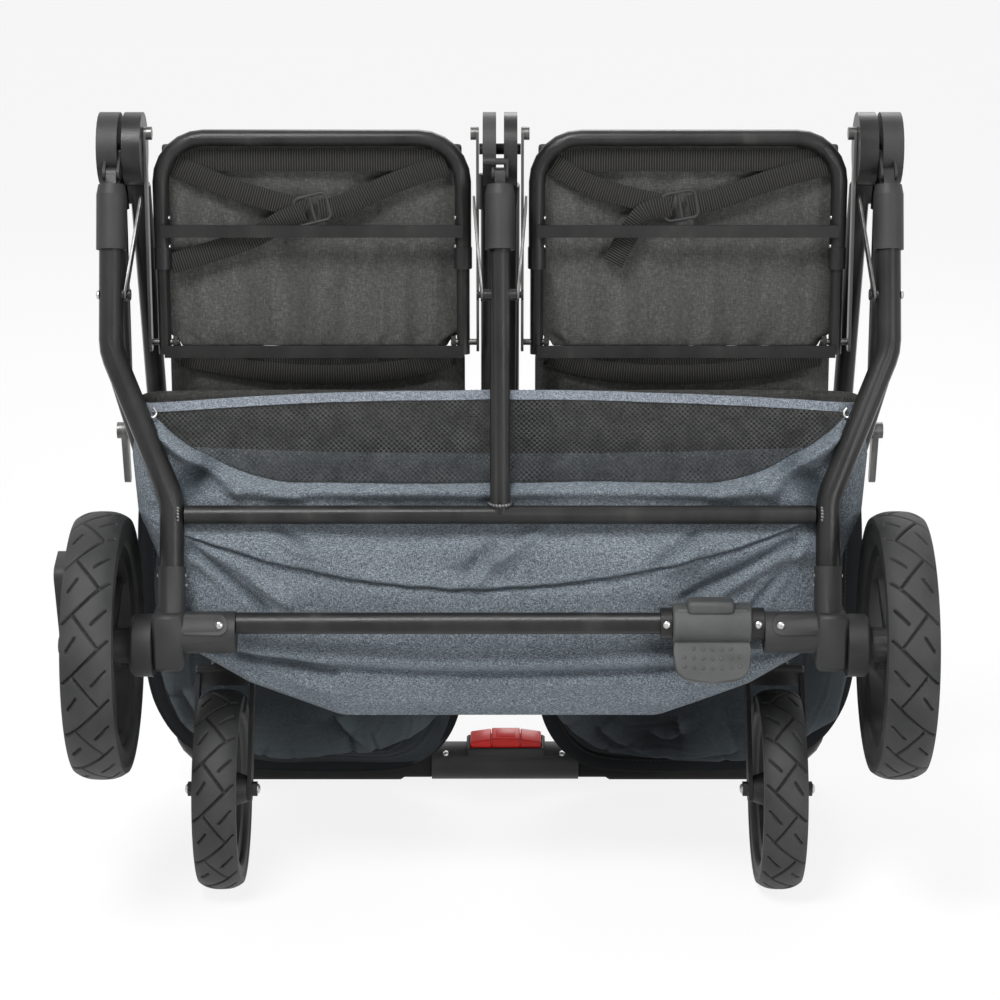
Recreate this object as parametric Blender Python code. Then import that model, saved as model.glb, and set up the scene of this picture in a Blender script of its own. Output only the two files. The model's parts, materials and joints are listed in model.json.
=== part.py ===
"""Side-by-side double stroller, folded, standing on its front wheels and its handle.

Metres, +Z up.  +X runs across the stroller, and -Y is the side of the rear axle.
The folded stroller stands with its hinges on top.
"""
import math

import bmesh
import bpy
from mathutils import Matrix, Vector

for old in list(bpy.data.objects):
    bpy.data.objects.remove(old, do_unlink=True)

# Running clearances
GAP = 0.0003
PIVOT_CLEAR = 0.0005

# Handle reach: the grips rest on the floor with the front wheels, which sets the hinge height
HANDLE_LEAN = math.radians(19.86)
HANDLE_L = 0.7065
GRIP_R = 0.020
HINGE_Z = GRIP_R + HANDLE_L * math.cos(HANDLE_LEAN)

# Main hinges, where the handle folds on the front frame
HINGE_R = 0.033
HINGE_PIN_R = 0.005
SIDE_PLANE_X = 0.339
SIDE_SLOT = 0.004
SIDE_FRAME_PLATE = 0.0185
SIDE_HANDLE_PLATE = 0.0165
MID_SLOT = 0.007
MID_PLATE = 0.012

# Rear leg hinges, a clevis on each main hinge
CLEVIS_Y = -0.036
CLEVIS_DROP = 0.01748
CLEVIS_Z = HINGE_Z - CLEVIS_DROP
CLEVIS_EAR_R = 0.0065
CLEVIS_PIN_R = 0.0025
EAR_IN = 0.005
EAR_OUT = 0.0075
TONGUE_HALF = 0.0047
TONGUE_R = 0.0055

# Rear frame: its lean takes the legs from their hinges down to the axle
AXLE_Y = -0.141
AXLE_TUBE_Z = 0.2813
AXLE_OFFSET = 0.0019
REAR_LEAN = (CLEVIS_Y - AXLE_Y) / (CLEVIS_Z - AXLE_TUBE_Z + AXLE_OFFSET)
REAR_LEG_X = 0.3455
REAR_LEG_R = 0.011
REAR_LEG_LOW_X = 0.291
REAR_STRAIGHT = 0.152
REAR_BEND_TOP_Z = CLEVIS_Z - REAR_STRAIGHT
REAR_BEND_LOW_Z = 0.387
REAR_FOOT_Z = 0.300
REAR_MID_R = 0.009
SLEEVE_R = 0.0135
SLEEVE_NECK_R = 0.0118
SLEEVE_TOP = 0.010
SLEEVE_END = 0.068
CROSS_BAR_Z = 0.374
CROSS_BAR_R = 0.0085

# Rear axle
AXLE_TUBE_R = 0.0098
AXLE_COLLAR_R = 0.014
AXLE_COLLARS = ((0.142, 0.1525), (0.2225, 0.2337))
REAR_WHEEL_Z = 0.261
REAR_WHEEL_R = 0.119
REAR_WHEEL_X = 0.352
REAR_TYRE_W = 0.044
REAR_RIM_R = 0.0887
REAR_STEPS = 32
STUB_R = 0.005
DRUM_R = 0.028
DRUM_IN_X = 0.3073
DRUM_OUT_X = 0.327
HOUSING_IN_X = 0.234
HOUSING_MID_X = 0.280
HOUSING_OUT_X = 0.307
HOUSING_TUBE_R = 0.0187
HOUSING_TUBE_Z = 0.273
SOCKET_R = 0.0125
SOCKET_RIM_Z = 0.330
AXLE_BLOCK_Z = (0.2415, 0.2933)
HOOK_X = (REAR_WHEEL_X + 0.0248, REAR_WHEEL_X + 0.0365)
STUB_HEAD_R = 0.008
HOOK_LENGTH = 0.072
HOOK_LEAN = 0.026
HOOK_NOSE = (0.006, 0.082)
HOOK_END_R = (0.011, 0.009, 0.006)
PEDAL_R = 0.018
PEDAL_FLAP_ROOT = (0.010, 0.008)
PEDAL_FLAP_EDGE = (0.032, 0.049)
PEDAL_TOGGLE_INSET = 0.012
PEDAL_TOGGLE_Y = (-0.010, 0.008)
PEDAL_TOGGLE_Z = (0.012, 0.023)

# Front frame
FRONT_LEG_X = 0.350
FRONT_LEG_Y = 0.0165
FRONT_LEG_R = 0.0105
FRONT_KNEE_Z = 0.470
FRONT_SHIN_X = 0.331
FRONT_SHIN_Z = 0.402
FRONT_FOOT_X = 0.266
FRONT_ANKLE_Z = 0.285
FRONT_FOOT_Z = 0.2303
FRONT_MID_X = -0.0095
FRONT_MID_R = 0.008
FRONT_BAR_Z = 0.245
FRONT_BAR_R = 0.009
COLLAR_WALL = 0.0017
COLLAR_H = 0.032
COLLAR_DROP = 0.02448
COLLAR_TOP_Z = HINGE_Z - COLLAR_DROP
COLLAR_LOW_Z = COLLAR_TOP_Z - COLLAR_H
LEG_IN_COLLAR = 0.020
LEG_TOP_Z = COLLAR_LOW_Z + LEG_IN_COLLAR
FOOTREST_HALF_X = 0.238
FOOTREST_OUT_Y = 0.070
FOOTREST_H = 0.016

# Front casters
CASTER_X = 0.259
CASTER_Y = 0.0115
CASTER_TILT = math.radians(51)
CASTER_DROP = 0.109
CASTER_TRAIL = 0.038
CASTER_SOCKET_R = 0.0145
CASTER_SOCKET_L = 0.045
CASTER_STEM_R = 0.006
CASTER_STEM_L = 0.040
FORK_IN = 0.0235
FORK_OUT = 0.0275
FORK_EYE_R = 0.012
FORK_BOLT_R = 0.004
FORK_BOLT_HEAD_R = 0.007
FORK_BOLT_HEAD_H = 0.005
FRONT_WHEEL_R = 0.093
FRONT_TYRE_W = 0.040
FRONT_RIM_R = 0.0687
FRONT_STEPS = 28
SOCKET_SLEEVE_R = 0.0135
SOCKET_SLEEVE_LOW_Z = 0.205
SOCKET_SLEEVE_TOP_Z = 0.262

# Seats
RECLINE_Z = 0.508
BACK_RISE = 0.01002
BACK_TOP_Z = HINGE_Z + BACK_RISE
HANGER_T = 0.0025
HANGER_FOOT = 0.008
HANGER_HEAD = 0.0105
HANGER_R = 0.0065
HANGER_LOW_Z = RECLINE_Z - HANGER_FOOT
HANGER_TOP_Z = BACK_TOP_Z + HANGER_HEAD
HANGER_Y = -0.0045
HANGER_BOLT_Z = HANGER_TOP_Z - HANGER_R + 0.0005
HANGER_BOLT_R = 0.006
HANGER_OUT_X = 0.3175
HANGER_IN_X = 0.019
RECLINE_STUD_R = 0.003
STUD_L = 0.0235
EYE_T = 0.0045
BACK_IN_X = 0.0335
BACK_OUT_X = 0.3065
BACK_TUBE_R = 0.0075
BACK_FOOT_R = 0.006
BACK_COLLAR_DROP = 0.099
BACK_COLLAR_H = 0.0195
BACK_COLLAR_TOP_Z = BACK_TOP_Z - BACK_COLLAR_DROP
BACK_COLLAR_LOW_Z = BACK_COLLAR_TOP_Z - BACK_COLLAR_H
BACK_COLLAR_R = 0.0082
BACK_FOOT = 0.011
BACK_FOOT_Z = RECLINE_Z - BACK_FOOT
BACK_CORNER = 0.040
BACK_BAR_T = 0.003
BACK_BAR_H = 0.011
BACK_BAR_DROP = 0.0835
BACK_BAR_Z = (BACK_TOP_Z - BACK_BAR_DROP, RECLINE_Z - HANGER_FOOT)
PAD_LAP = 0.003
PAD_IN_X = BACK_IN_X - PAD_LAP
PAD_OUT_X = BACK_OUT_X + PAD_LAP
BACK_PAD_T = 0.012
BACK_PAD_Y = (BACK_COLLAR_R + GAP, BACK_COLLAR_R + GAP + BACK_PAD_T)
BACK_PAD_FOOT = 0.032
BACK_PAD_HEAD = 0.0135
BACK_PAD_Z = (RECLINE_Z + BACK_PAD_FOOT, BACK_TOP_Z - BACK_PAD_HEAD)
BASE_PAD_Y = (0.031, 0.061)
BASE_PAD_OVER_BAR = 0.030
BASE_PAD_DROP = 0.018
BASE_PAD_Z = (FRONT_BAR_Z + BASE_PAD_OVER_BAR, RECLINE_Z - BASE_PAD_DROP)

# Seat links, bent strips between the rear legs and the seats
LINK_DROP = 0.1043
LINK_PIVOT_Z = CLEVIS_Z - LINK_DROP
LINK_TOP_Y = -0.020
LINK_TOP_DROP = 0.04448
LINK_TOP_Z = HINGE_Z - LINK_TOP_DROP
LINK_T = 0.002
LINK_R = 0.006
LINK_STUD_R = 0.003
LINK_SLACK = 0.0018
SIDE_LINK_LOW_X = 0.3318
SIDE_LINK_HIGH_X = 0.3215
MID_LINK_LOW_X = 0.0151
MID_LINK_HIGH_X = 0.0225

# Handle
HANDLE_ARM_X = 0.3265
HANDLE_ARM_R = 0.0095
HANDLE_ARM_START = 0.036
CROSSBAR_R = 0.0125
CROSSBAR_HALF = 0.275
HANDLE_CORNER = (HANDLE_ARM_X - CROSSBAR_HALF) * 0.8155
GRIP_OUT_X = 0.270
GRIP_NECK_R = 0.0175
GRIP_NECK_L = 0.028
TRIGGER_CASE_R = 0.0195
TRIGGER_CASE_X = (-0.0708, 0.0812)
BEZEL_X = (-0.0345, 0.0465)
BEZEL_HALF = 0.013
BEZEL_TOP = 0.0248
POCKET_WALL = 0.003
POCKET_HALF = 0.0103
POCKET_FLOOR = 0.016
TRIGGER_TRAVEL = 0.005
TRIGGER_TOP = 0.036
HANDLE_POST_X = 0.010
HANDLE_POST_R = 0.008
HANDLE_POST_L = 0.36
HANDLE_BRACE_R = 0.006

# Canopies
CANOPY_LENGTH = 0.4065
CANOPY_PIVOT = HANDLE_L - CANOPY_LENGTH
CANOPY_BOW_R = 0.004
BOW_OUT_X = 0.345
BOW_IN_X = 0.030
BOW_NEAR = 0.015
BOW_STOP = 0.0865
BOW_REACH = HANDLE_L - BOW_STOP
CLIP_OUT_X = 0.367
# Canopy sections: distance above the crossbar, outer and inner X, and swell of the cloth
CANOPY_STATIONS = (
    (0.3765, 0.345, 0.037, 0.010), (0.3065, 0.352, 0.036, 0.022), (0.2265, 0.355, 0.036, 0.035),
    (0.1365, 0.355, 0.037, 0.036), (0.0865, 0.346, 0.042, 0.035), (0.0465, 0.316, 0.056, 0.030),
    (0.0215, 0.270, 0.082, 0.020))

# Basket levels: height, half width, rear face and front face; None follows the rear legs
BASKET_WALL = 0.003
BASKET_HEM_Z = 0.466
BASKET_HEM_RISE = 0.013
BASKET_LEVELS = (
    (0.181, 0.155, -0.120, -0.060), (0.215, 0.230, -0.120, -0.035), (0.250, 0.285, -0.118, -0.020),
    (0.310, 0.300, -0.108, -0.020), (0.370, 0.325, -0.1003, -0.020), (0.420, 0.330, None, -0.020),
    (0.466, 0.325, None, -0.020))

SIDES = {"left": -1, "right": 1}


def shape(mesh_data):
    """Hand a finished bmesh to the scene as a working shape."""
    bmesh.ops.recalc_face_normals(mesh_data, faces=mesh_data.faces)
    mesh = bpy.data.meshes.new("shape")
    mesh_data.to_mesh(mesh)
    mesh_data.free()
    work = bpy.data.objects.new("shape", mesh)
    bpy.context.scene.collection.objects.link(work)
    return work


def box(low, high, chamfer=0.0):
    """A block between two corners, with its edges chamfered where asked."""
    low, high = Vector(low), Vector(high)
    size = [abs(b - a) for a, b in zip(low, high)]
    block = bmesh.new()
    bmesh.ops.create_cube(block, size=1.0)
    bmesh.ops.scale(block, vec=size, verts=block.verts)
    bmesh.ops.translate(block, vec=(low + high) / 2, verts=block.verts)
    if chamfer:
        bmesh.ops.bevel(block, geom=block.edges[:], offset=chamfer, segments=1,
                        affect="EDGES", profile=0.5, material=-1)
    return shape(block)


def rod(start, end, radius, sides=12):
    """A straight round bar from start to end."""
    start, end = Vector(start), Vector(end)
    run = end - start
    bar = bmesh.new()
    bmesh.ops.create_cone(bar, cap_ends=True, segments=sides, radius1=radius,
                          radius2=radius, depth=run.length)
    turn = Vector((0, 0, 1)).rotation_difference(run).to_matrix().to_4x4()
    bmesh.ops.transform(bar, matrix=Matrix.Translation((start + end) / 2) @ turn, verts=bar.verts)
    return shape(bar)


def rounded(points, bend):
    """The route through points, with an arc of radius bend at each inner corner."""
    points = [Vector(point) for point in points]
    route = [points[0]]
    for before, corner, after in zip(points, points[1:], points[2:]):
        back = (before - corner).normalized()
        ahead = (after - corner).normalized()
        half = back.angle(ahead) / 2
        cut = bend / math.tan(half)
        centre = corner + (back + ahead).normalized() * bend / math.sin(half)
        steps = max(2, math.ceil((math.pi - 2 * half) / math.radians(15)))
        first = corner + back * cut - centre
        last = corner + ahead * cut - centre
        route += [centre + first.slerp(last, step / steps).normalized() * bend
                  for step in range(steps + 1)]
    return route + [points[-1]]


def bent_tube(points, radius, bend, sides=10):
    """A round bar bent along points."""
    curve = bpy.data.curves.new("route", "CURVE")
    curve.dimensions = "3D"
    curve.bevel_depth = radius
    curve.bevel_resolution = (sides - 4) // 2
    curve.use_fill_caps = True
    route = rounded(points, bend)
    spline = curve.splines.new("POLY")
    spline.points.add(len(route) - 1)
    for knot, place in zip(spline.points, route):
        knot.co = (*place, 1)
    guide = bpy.data.objects.new("guide", curve)
    bpy.context.scene.collection.objects.link(guide)
    tube = bmesh.new()
    tube.from_mesh(evaluated(guide))
    bpy.data.objects.remove(guide, do_unlink=True)
    bmesh.ops.remove_doubles(tube, verts=tube.verts, dist=0.00001)
    return shape(tube)


def turned(outline, centre, axis=(1, 0, 0), steps=24):
    """Spin an outline of (along, radius) points round an axis through centre."""
    lathe = bmesh.new()
    ring = [lathe.verts.new((along, radius, 0)) for along, radius in outline]
    pairs = list(zip(ring, ring[1:]))
    if outline[0][1] or outline[-1][1]:
        pairs.append((ring[-1], ring[0]))
    edges = [lathe.edges.new(pair) for pair in pairs]
    bmesh.ops.spin(lathe, geom=ring + edges, cent=(0, 0, 0), axis=(1, 0, 0),
                   angle=2 * math.pi, steps=steps, use_merge=True)
    bmesh.ops.remove_doubles(lathe, verts=lathe.verts, dist=0.00001)
    turn = Vector((1, 0, 0)).rotation_difference(Vector(axis)).to_matrix().to_4x4()
    bmesh.ops.transform(lathe, matrix=Matrix.Translation(centre) @ turn, verts=lathe.verts)
    return shape(lathe)


def hull(discs, sides=12):
    """The convex body round flat discs that face along X: (x_low, x_high, y, z, radius)."""
    body = bmesh.new()
    for x_low, x_high, y, z, radius in discs:
        for step in range(sides):
            angle = 2 * math.pi * (step + 0.5) / sides
            for x in (x_low, x_high):
                body.verts.new((x, y + radius * math.cos(angle), z + radius * math.sin(angle)))
    made = bmesh.ops.convex_hull(body, input=body.verts)
    spare = [item for item in made["geom_interior"] if isinstance(item, bmesh.types.BMVert)]
    bmesh.ops.delete(body, geom=spare, context="VERTS")
    bmesh.ops.dissolve_limit(body, angle_limit=0.001, verts=body.verts, edges=body.edges)
    return shape(body)


def loft(rings):
    """A closed skin through rings of equal point count, with both end rings filled."""
    body = bmesh.new()
    rows = [[body.verts.new(point) for point in ring] for ring in rings]
    for row, following in zip(rows, rows[1:]):
        for a, b, c, d in zip(row, row[1:] + row[:1], following[1:] + following[:1], following):
            body.faces.new((a, b, c, d))
    body.faces.new(rows[0])
    body.faces.new(rows[-1])
    return shape(body)


def evaluated(work):
    """The mesh of an object with its modifiers in place."""
    bpy.context.view_layer.update()
    return bpy.data.meshes.new_from_object(work.evaluated_get(bpy.context.evaluated_depsgraph_get()))


def combine(work, others, operation):
    """Join others to a shape, or cut them from it, and keep the one closed body."""
    for other in others:
        step = work.modifiers.new("step", "BOOLEAN")
        step.operation = operation
        step.object = other
    mesh = evaluated(work)
    work.modifiers.clear()
    work.data = mesh
    for other in others:
        bpy.data.objects.remove(other, do_unlink=True)
    return work


def joined(work, *others):
    """One solid from shapes that overlap."""
    return combine(work, others, "UNION")


def cut(work, *others):
    """A solid less the shapes given."""
    return combine(work, others, "DIFFERENCE")


def joint(name, place):
    """An empty on a joint's axis, which carries the pieces that turn there."""
    empty = bpy.data.objects.new(name, None)
    empty.empty_display_size = 0.02
    empty.location = place
    bpy.context.scene.collection.objects.link(empty)
    return empty


BLACK_STEEL = ((0.022, 0.022, 0.023), 0.42, 0.0)
GREY_STEEL = ((0.09, 0.09, 0.093), 0.4, 0.6)
BLACK_PLASTIC = ((0.018, 0.018, 0.019), 0.5, 0.0)
GREY_PLASTIC = ((0.07, 0.07, 0.073), 0.55, 0.0)
TYRE_FOAM = ((0.026, 0.026, 0.027), 0.85, 0.0)
RED_PLASTIC = ((0.42, 0.022, 0.015), 0.4, 0.0)
GRIP_FOAM = ((0.02, 0.02, 0.021), 0.9, 0.0)
DENIM = ((0.11, 0.14, 0.18), 0.9, 0.0)
CANOPY_CLOTH = ((0.016, 0.022, 0.03), 0.9, 0.0)
LINING_CLOTH = ((0.045, 0.045, 0.043), 0.92, 0.0)


def piece(name, work, finish, carrier=None):
    """Name a finished solid, give it its material and hang it on its joint."""
    colour, roughness, metallic = finish
    work.name = name
    work.data.name = name
    material = bpy.data.materials.new(name + "_finish")
    material.use_nodes = True
    shader = material.node_tree.nodes["Principled BSDF"]
    shader.inputs["Base Color"].default_value = (*colour, 1)
    shader.inputs["Roughness"].default_value = roughness
    shader.inputs["Metallic"].default_value = metallic
    work.data.materials.clear()
    work.data.materials.append(material)
    work.data.shade_smooth()
    work.data.set_sharp_from_angle(angle=math.radians(35))
    if carrier:
        work.data.transform(Matrix.Translation(-carrier.location))
        work.parent = carrier
    return work


def bore(start, end, radius, sides=16):
    """A cutter whose flats stay clear of a round bar of this radius."""
    return rod(start, end, radius / math.cos(math.pi / sides), sides=sides)


def placed(work, origin, forward, up):
    """Move a shape from its own axes (X, forward, up) to its place."""
    matrix = Matrix(((1, 0, 0, origin[0]),
                     (0, forward[1], up[1], origin[1]),
                     (0, forward[2], up[2], origin[2]),
                     (0, 0, 0, 1)))
    work.data.transform(matrix)
    return work


# Directions and reference lines worked out from the sizes
STEM_DOWN = Vector((0, -math.sin(CASTER_TILT), -math.cos(CASTER_TILT)))
TRAIL = Vector((0, math.cos(CASTER_TILT), -math.sin(CASTER_TILT)))
CASTER_Z = FRONT_WHEEL_R - CASTER_DROP * STEM_DOWN.z - CASTER_TRAIL * TRAIL.z
HANDLE_DOWN = Vector((0, math.sin(HANDLE_LEAN), -math.cos(HANDLE_LEAN)))
HANDLE_FAR = Vector((0, math.cos(HANDLE_LEAN), math.sin(HANDLE_LEAN)))
REAR_DOWN = Vector((0, -REAR_LEAN, -1)).normalized()


def rear_y(z):
    """Where the rear legs lie at a height."""
    return CLEVIS_Y - REAR_LEAN * (CLEVIS_Z - z)


def on_rear(x, distance):
    """A point on a rear leg's line, below its hinge."""
    return Vector((x, CLEVIS_Y, CLEVIS_Z)) + REAR_DOWN * distance


def on_handle(x, distance, near=0.0):
    """A point along the handle from the main hinge, moved towards the rear axle by near."""
    return Vector((x, 0, HINGE_Z)) + HANDLE_DOWN * distance - HANDLE_FAR * near


# Joint axes
rear_hinge = joint("rear_hinge_axis", (0, CLEVIS_Y, CLEVIS_Z))
handle_hinge = joint("handle_hinge_axis", (0, 0, HINGE_Z))
link_hinge = joint("seat_link_axis", (0, rear_y(LINK_PIVOT_Z), LINK_PIVOT_Z))
pedal_hinge = joint("brake_pedal_axis", (0, AXLE_Y, AXLE_TUBE_Z))
hook_hinge = joint("storage_hook_axis", (-REAR_WHEEL_X, AXLE_Y, REAR_WHEEL_Z))
trigger_slide = joint("trigger_axis", on_handle(0, HANDLE_L))


# Main hinge housings on the front frame, with the rear leg clevises
def side_housing(side):
    """One outer hinge housing: plate, hinge pin, leg collar and rear clevis."""
    inner = side * (SIDE_PLANE_X + SIDE_SLOT / 2)
    outer = side * (SIDE_PLANE_X + SIDE_SLOT / 2 + SIDE_FRAME_PLATE)
    pin_end = side * (HANGER_OUT_X + HANGER_T + GAP)
    ear_inner = [side * (REAR_LEG_X - EAR_OUT), side * (REAR_LEG_X - EAR_IN)]
    ear_outer = [side * (REAR_LEG_X + EAR_IN), side * (REAR_LEG_X + EAR_OUT)]
    root = (CLEVIS_Y / 2, (CLEVIS_Z + HINGE_Z) / 2, 0.010)
    body = hull([(inner, outer, 0, HINGE_Z, HINGE_R)], sides=24)
    leg = side * FRONT_LEG_X
    wall_r = FRONT_LEG_R + GAP + COLLAR_WALL
    body = joined(
        body,
        rod((outer, 0, HINGE_Z), (pin_end, 0, HINGE_Z), HINGE_PIN_R),
        rod((leg, FRONT_LEG_Y, COLLAR_LOW_Z), (leg, FRONT_LEG_Y, COLLAR_TOP_Z), wall_r, sides=16),
        hull([(*ear_inner, CLEVIS_Y, CLEVIS_Z, CLEVIS_EAR_R), (*ear_inner, *root)]),
        hull([(ear_inner[0], inner + side * 0.001, *root)]),
        hull([(*ear_outer, CLEVIS_Y, CLEVIS_Z, CLEVIS_EAR_R), (*ear_outer, *root)]),
        rod((ear_inner[0], CLEVIS_Y, CLEVIS_Z), (ear_outer[1], CLEVIS_Y, CLEVIS_Z), CLEVIS_PIN_R))
    return cut(body, bore((leg, FRONT_LEG_Y, COLLAR_LOW_Z - 0.01),
                          (leg, FRONT_LEG_Y, LEG_TOP_Z + GAP), FRONT_LEG_R + GAP))


def centre_housing():
    """The middle hinge housing: its clevis reaches over to the handle's side."""
    outer = -MID_SLOT / 2 - MID_PLATE
    inner = -MID_SLOT / 2
    pin_end = HANGER_IN_X - GAP
    bridge = (CLEVIS_Y - 0.0018, CLEVIS_Z + 0.011)
    root = (CLEVIS_Y / 2, (CLEVIS_Z + HINGE_Z) / 2 + 0.003)
    web = (outer + 0.0006, inner - 0.0005)
    wall_r = FRONT_MID_R + GAP + COLLAR_WALL
    body = joined(
        hull([(outer, inner, 0, HINGE_Z, HINGE_R)], sides=24),
        rod((-pin_end, 0, HINGE_Z), (pin_end, 0, HINGE_Z), HINGE_PIN_R),
        rod((FRONT_MID_X, FRONT_LEG_Y, COLLAR_LOW_Z), (FRONT_MID_X, FRONT_LEG_Y, COLLAR_TOP_Z),
            wall_r, sides=16),
        hull([(-EAR_OUT, -EAR_IN, CLEVIS_Y, CLEVIS_Z, CLEVIS_EAR_R), (-EAR_OUT, -EAR_IN, *root, 0.007)]),
        hull([(EAR_IN, EAR_OUT, CLEVIS_Y, CLEVIS_Z, CLEVIS_EAR_R), (EAR_IN, EAR_OUT, *bridge, 0.0024)]),
        hull([(outer + 0.0003, EAR_OUT - 0.0005, *bridge, 0.003)]),
        hull([(*web, *bridge, 0.0037), (*web, *root, 0.008)]),
        rod((-EAR_OUT + 0.0005, CLEVIS_Y, CLEVIS_Z), (EAR_OUT - 0.0005, CLEVIS_Y, CLEVIS_Z),
            CLEVIS_PIN_R))
    return cut(body, bore((FRONT_MID_X, FRONT_LEG_Y, COLLAR_LOW_Z - 0.01),
                          (FRONT_MID_X, FRONT_LEG_Y, LEG_TOP_Z + GAP), FRONT_MID_R + GAP))


for name, side in SIDES.items():
    piece("hinge_housing_" + name, side_housing(side), BLACK_PLASTIC)
piece("hinge_housing_centre", centre_housing(), BLACK_PLASTIC)


# Front legs, the middle leg with its cross tube, and the footrest
def front_leg(side):
    """One outer front leg, cranked in from the hinge to the caster."""
    route = [(FRONT_LEG_X, LEG_TOP_Z), (FRONT_LEG_X, FRONT_KNEE_Z), (FRONT_SHIN_X, FRONT_SHIN_Z),
             (FRONT_FOOT_X, FRONT_ANKLE_Z), (FRONT_FOOT_X, FRONT_FOOT_Z)]
    return bent_tube([(side * x, FRONT_LEG_Y, z) for x, z in route], FRONT_LEG_R, 0.03)


for name, side in SIDES.items():
    piece("front_leg_" + name, front_leg(side), BLACK_STEEL)

bar_half = FRONT_FOOT_X - SOCKET_SLEEVE_R - GAP
piece("front_centre_frame", joined(
    rod((-bar_half, FRONT_LEG_Y, FRONT_BAR_Z), (bar_half, FRONT_LEG_Y, FRONT_BAR_Z), FRONT_BAR_R),
    rod((FRONT_MID_X, FRONT_LEG_Y, FRONT_BAR_Z), (FRONT_MID_X, FRONT_LEG_Y, LEG_TOP_Z),
        FRONT_MID_R)), BLACK_STEEL)

tread_y = FRONT_LEG_Y + FRONT_BAR_R + GAP
piece("footrest", box((-FOOTREST_HALF_X, tread_y, FRONT_BAR_Z - FOOTREST_H / 2),
                      (FOOTREST_HALF_X, FOOTREST_OUT_Y, FRONT_BAR_Z + FOOTREST_H / 2), 0.003),
      GREY_PLASTIC)


# Caster sockets on the front legs, and the forks that swivel in them
def on_caster(side, x=0.0, down=0.0, trail=0.0):
    """A point in a caster's own directions from the top of its stem."""
    crown = Vector((side * CASTER_X + x, CASTER_Y, CASTER_Z))
    return crown + STEM_DOWN * down + TRAIL * trail


def caster_socket(side):
    """The moulding that holds the front leg's end and the caster's stem."""
    foot = side * FRONT_FOOT_X
    body = joined(
        rod(on_caster(side), on_caster(side, down=-CASTER_SOCKET_L), CASTER_SOCKET_R, sides=16),
        rod((foot, FRONT_LEG_Y, SOCKET_SLEEVE_LOW_Z), (foot, FRONT_LEG_Y, SOCKET_SLEEVE_TOP_Z),
            SOCKET_SLEEVE_R, sides=16))
    return cut(
        body,
        bore(on_caster(side, down=0.01), on_caster(side, down=-CASTER_STEM_L - PIVOT_CLEAR),
             CASTER_STEM_R + PIVOT_CLEAR),
        bore((foot, FRONT_LEG_Y, FRONT_FOOT_Z - GAP), (foot, FRONT_LEG_Y, SOCKET_SLEEVE_TOP_Z + 0.01),
             FRONT_LEG_R + GAP))


def caster_fork(side):
    """The fork: stem, crown plate, two arms and the axle bolt."""
    parts = [rod(on_caster(side, down=0.005), on_caster(side, down=-CASTER_STEM_L), CASTER_STEM_R)]
    hub = on_caster(side, down=CASTER_DROP, trail=CASTER_TRAIL)
    crown = on_caster(side, down=0.012)
    for hand in (-1, 1):
        faces = (hub.x + hand * FORK_IN, hub.x + hand * FORK_OUT)
        parts.append(hull([(*faces, hub.y, hub.z, FORK_EYE_R), (*faces, crown.y, crown.z, 0.009)]))
        parts.append(rod((faces[1] - hand * 0.001, hub.y, hub.z),
                         (faces[1] + hand * FORK_BOLT_HEAD_H, hub.y, hub.z), FORK_BOLT_HEAD_R, sides=6))
    parts.append(rod((hub.x - FORK_OUT, hub.y, hub.z), (hub.x + FORK_OUT, hub.y, hub.z), FORK_BOLT_R))
    plate = placed(box((-FORK_OUT, -0.014, -0.011), (FORK_OUT, 0.014, -0.003), 0.002),
                   on_caster(side), TRAIL, -STEM_DOWN)
    return joined(plate, *parts)


def wheel_tyre(centre, radius, width, rim_radius, steps):
    """A tyre, with a flat tread and rounded shoulders, over its rim."""
    half = width / 2
    seat = rim_radius + GAP
    wall = radius - seat
    outer = [(half * 0.8, seat), (half, seat + wall * 0.25), (half, seat + wall * 0.55),
             (half * 0.73, radius - wall * 0.1), (half * 0.3, radius)]
    return turned(outer + [(-x, r) for x, r in reversed(outer)], centre, steps=steps)


def wheel_rim(hub, centre, radius, ring, spokes, spoke_half, steps):
    """A moulded wheel: hub, rim ring of (half width, depth), and spokes."""
    half, depth = ring
    parts = [turned([(-half * 0.85, radius - depth), (-half, radius), (half, radius),
                     (half * 0.85, radius - depth)], centre, steps=steps)]
    faces = (centre[0] - spoke_half, centre[0] + spoke_half)
    for number in range(spokes):
        angle = 2 * math.pi * (number + 0.5) / spokes
        ends = []
        for distance, end_r in ((0.0145, 0.007), (radius - depth + 0.002, 0.005)):
            ends.append((*faces, centre[1] + distance * math.cos(angle),
                         centre[2] + distance * math.sin(angle), end_r))
        parts.append(hull(ends, sides=8))
    return joined(hub, *parts)


caster_axes = {}
caster_wheel_axes = {}
for name, side in SIDES.items():
    piece("caster_socket_" + name, caster_socket(side), BLACK_PLASTIC)
    caster_axes[name] = joint("caster_axis_" + name, on_caster(side))
    piece("caster_fork_" + name, caster_fork(side), BLACK_PLASTIC, caster_axes[name])
    hub_place = on_caster(side, down=CASTER_DROP, trail=CASTER_TRAIL)
    axis = joint("front_wheel_axis_" + name, hub_place)
    piece("front_tyre_" + name,
          wheel_tyre(hub_place, FRONT_WHEEL_R, FRONT_TYRE_W, FRONT_RIM_R, FRONT_STEPS), TYRE_FOAM, axis)
    hub_half = FORK_IN - GAP
    hub = turned([(-hub_half, FORK_BOLT_R + PIVOT_CLEAR), (-hub_half, 0.012), (-0.012, 0.016),
                  (0.012, 0.016), (hub_half, 0.012), (hub_half, FORK_BOLT_R + PIVOT_CLEAR)],
                 hub_place, steps=16)
    piece("front_rim_" + name,
          wheel_rim(hub, hub_place, FRONT_RIM_R, (0.014, 0.008), 5, 0.008, FRONT_STEPS),
          BLACK_PLASTIC, axis)


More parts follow.
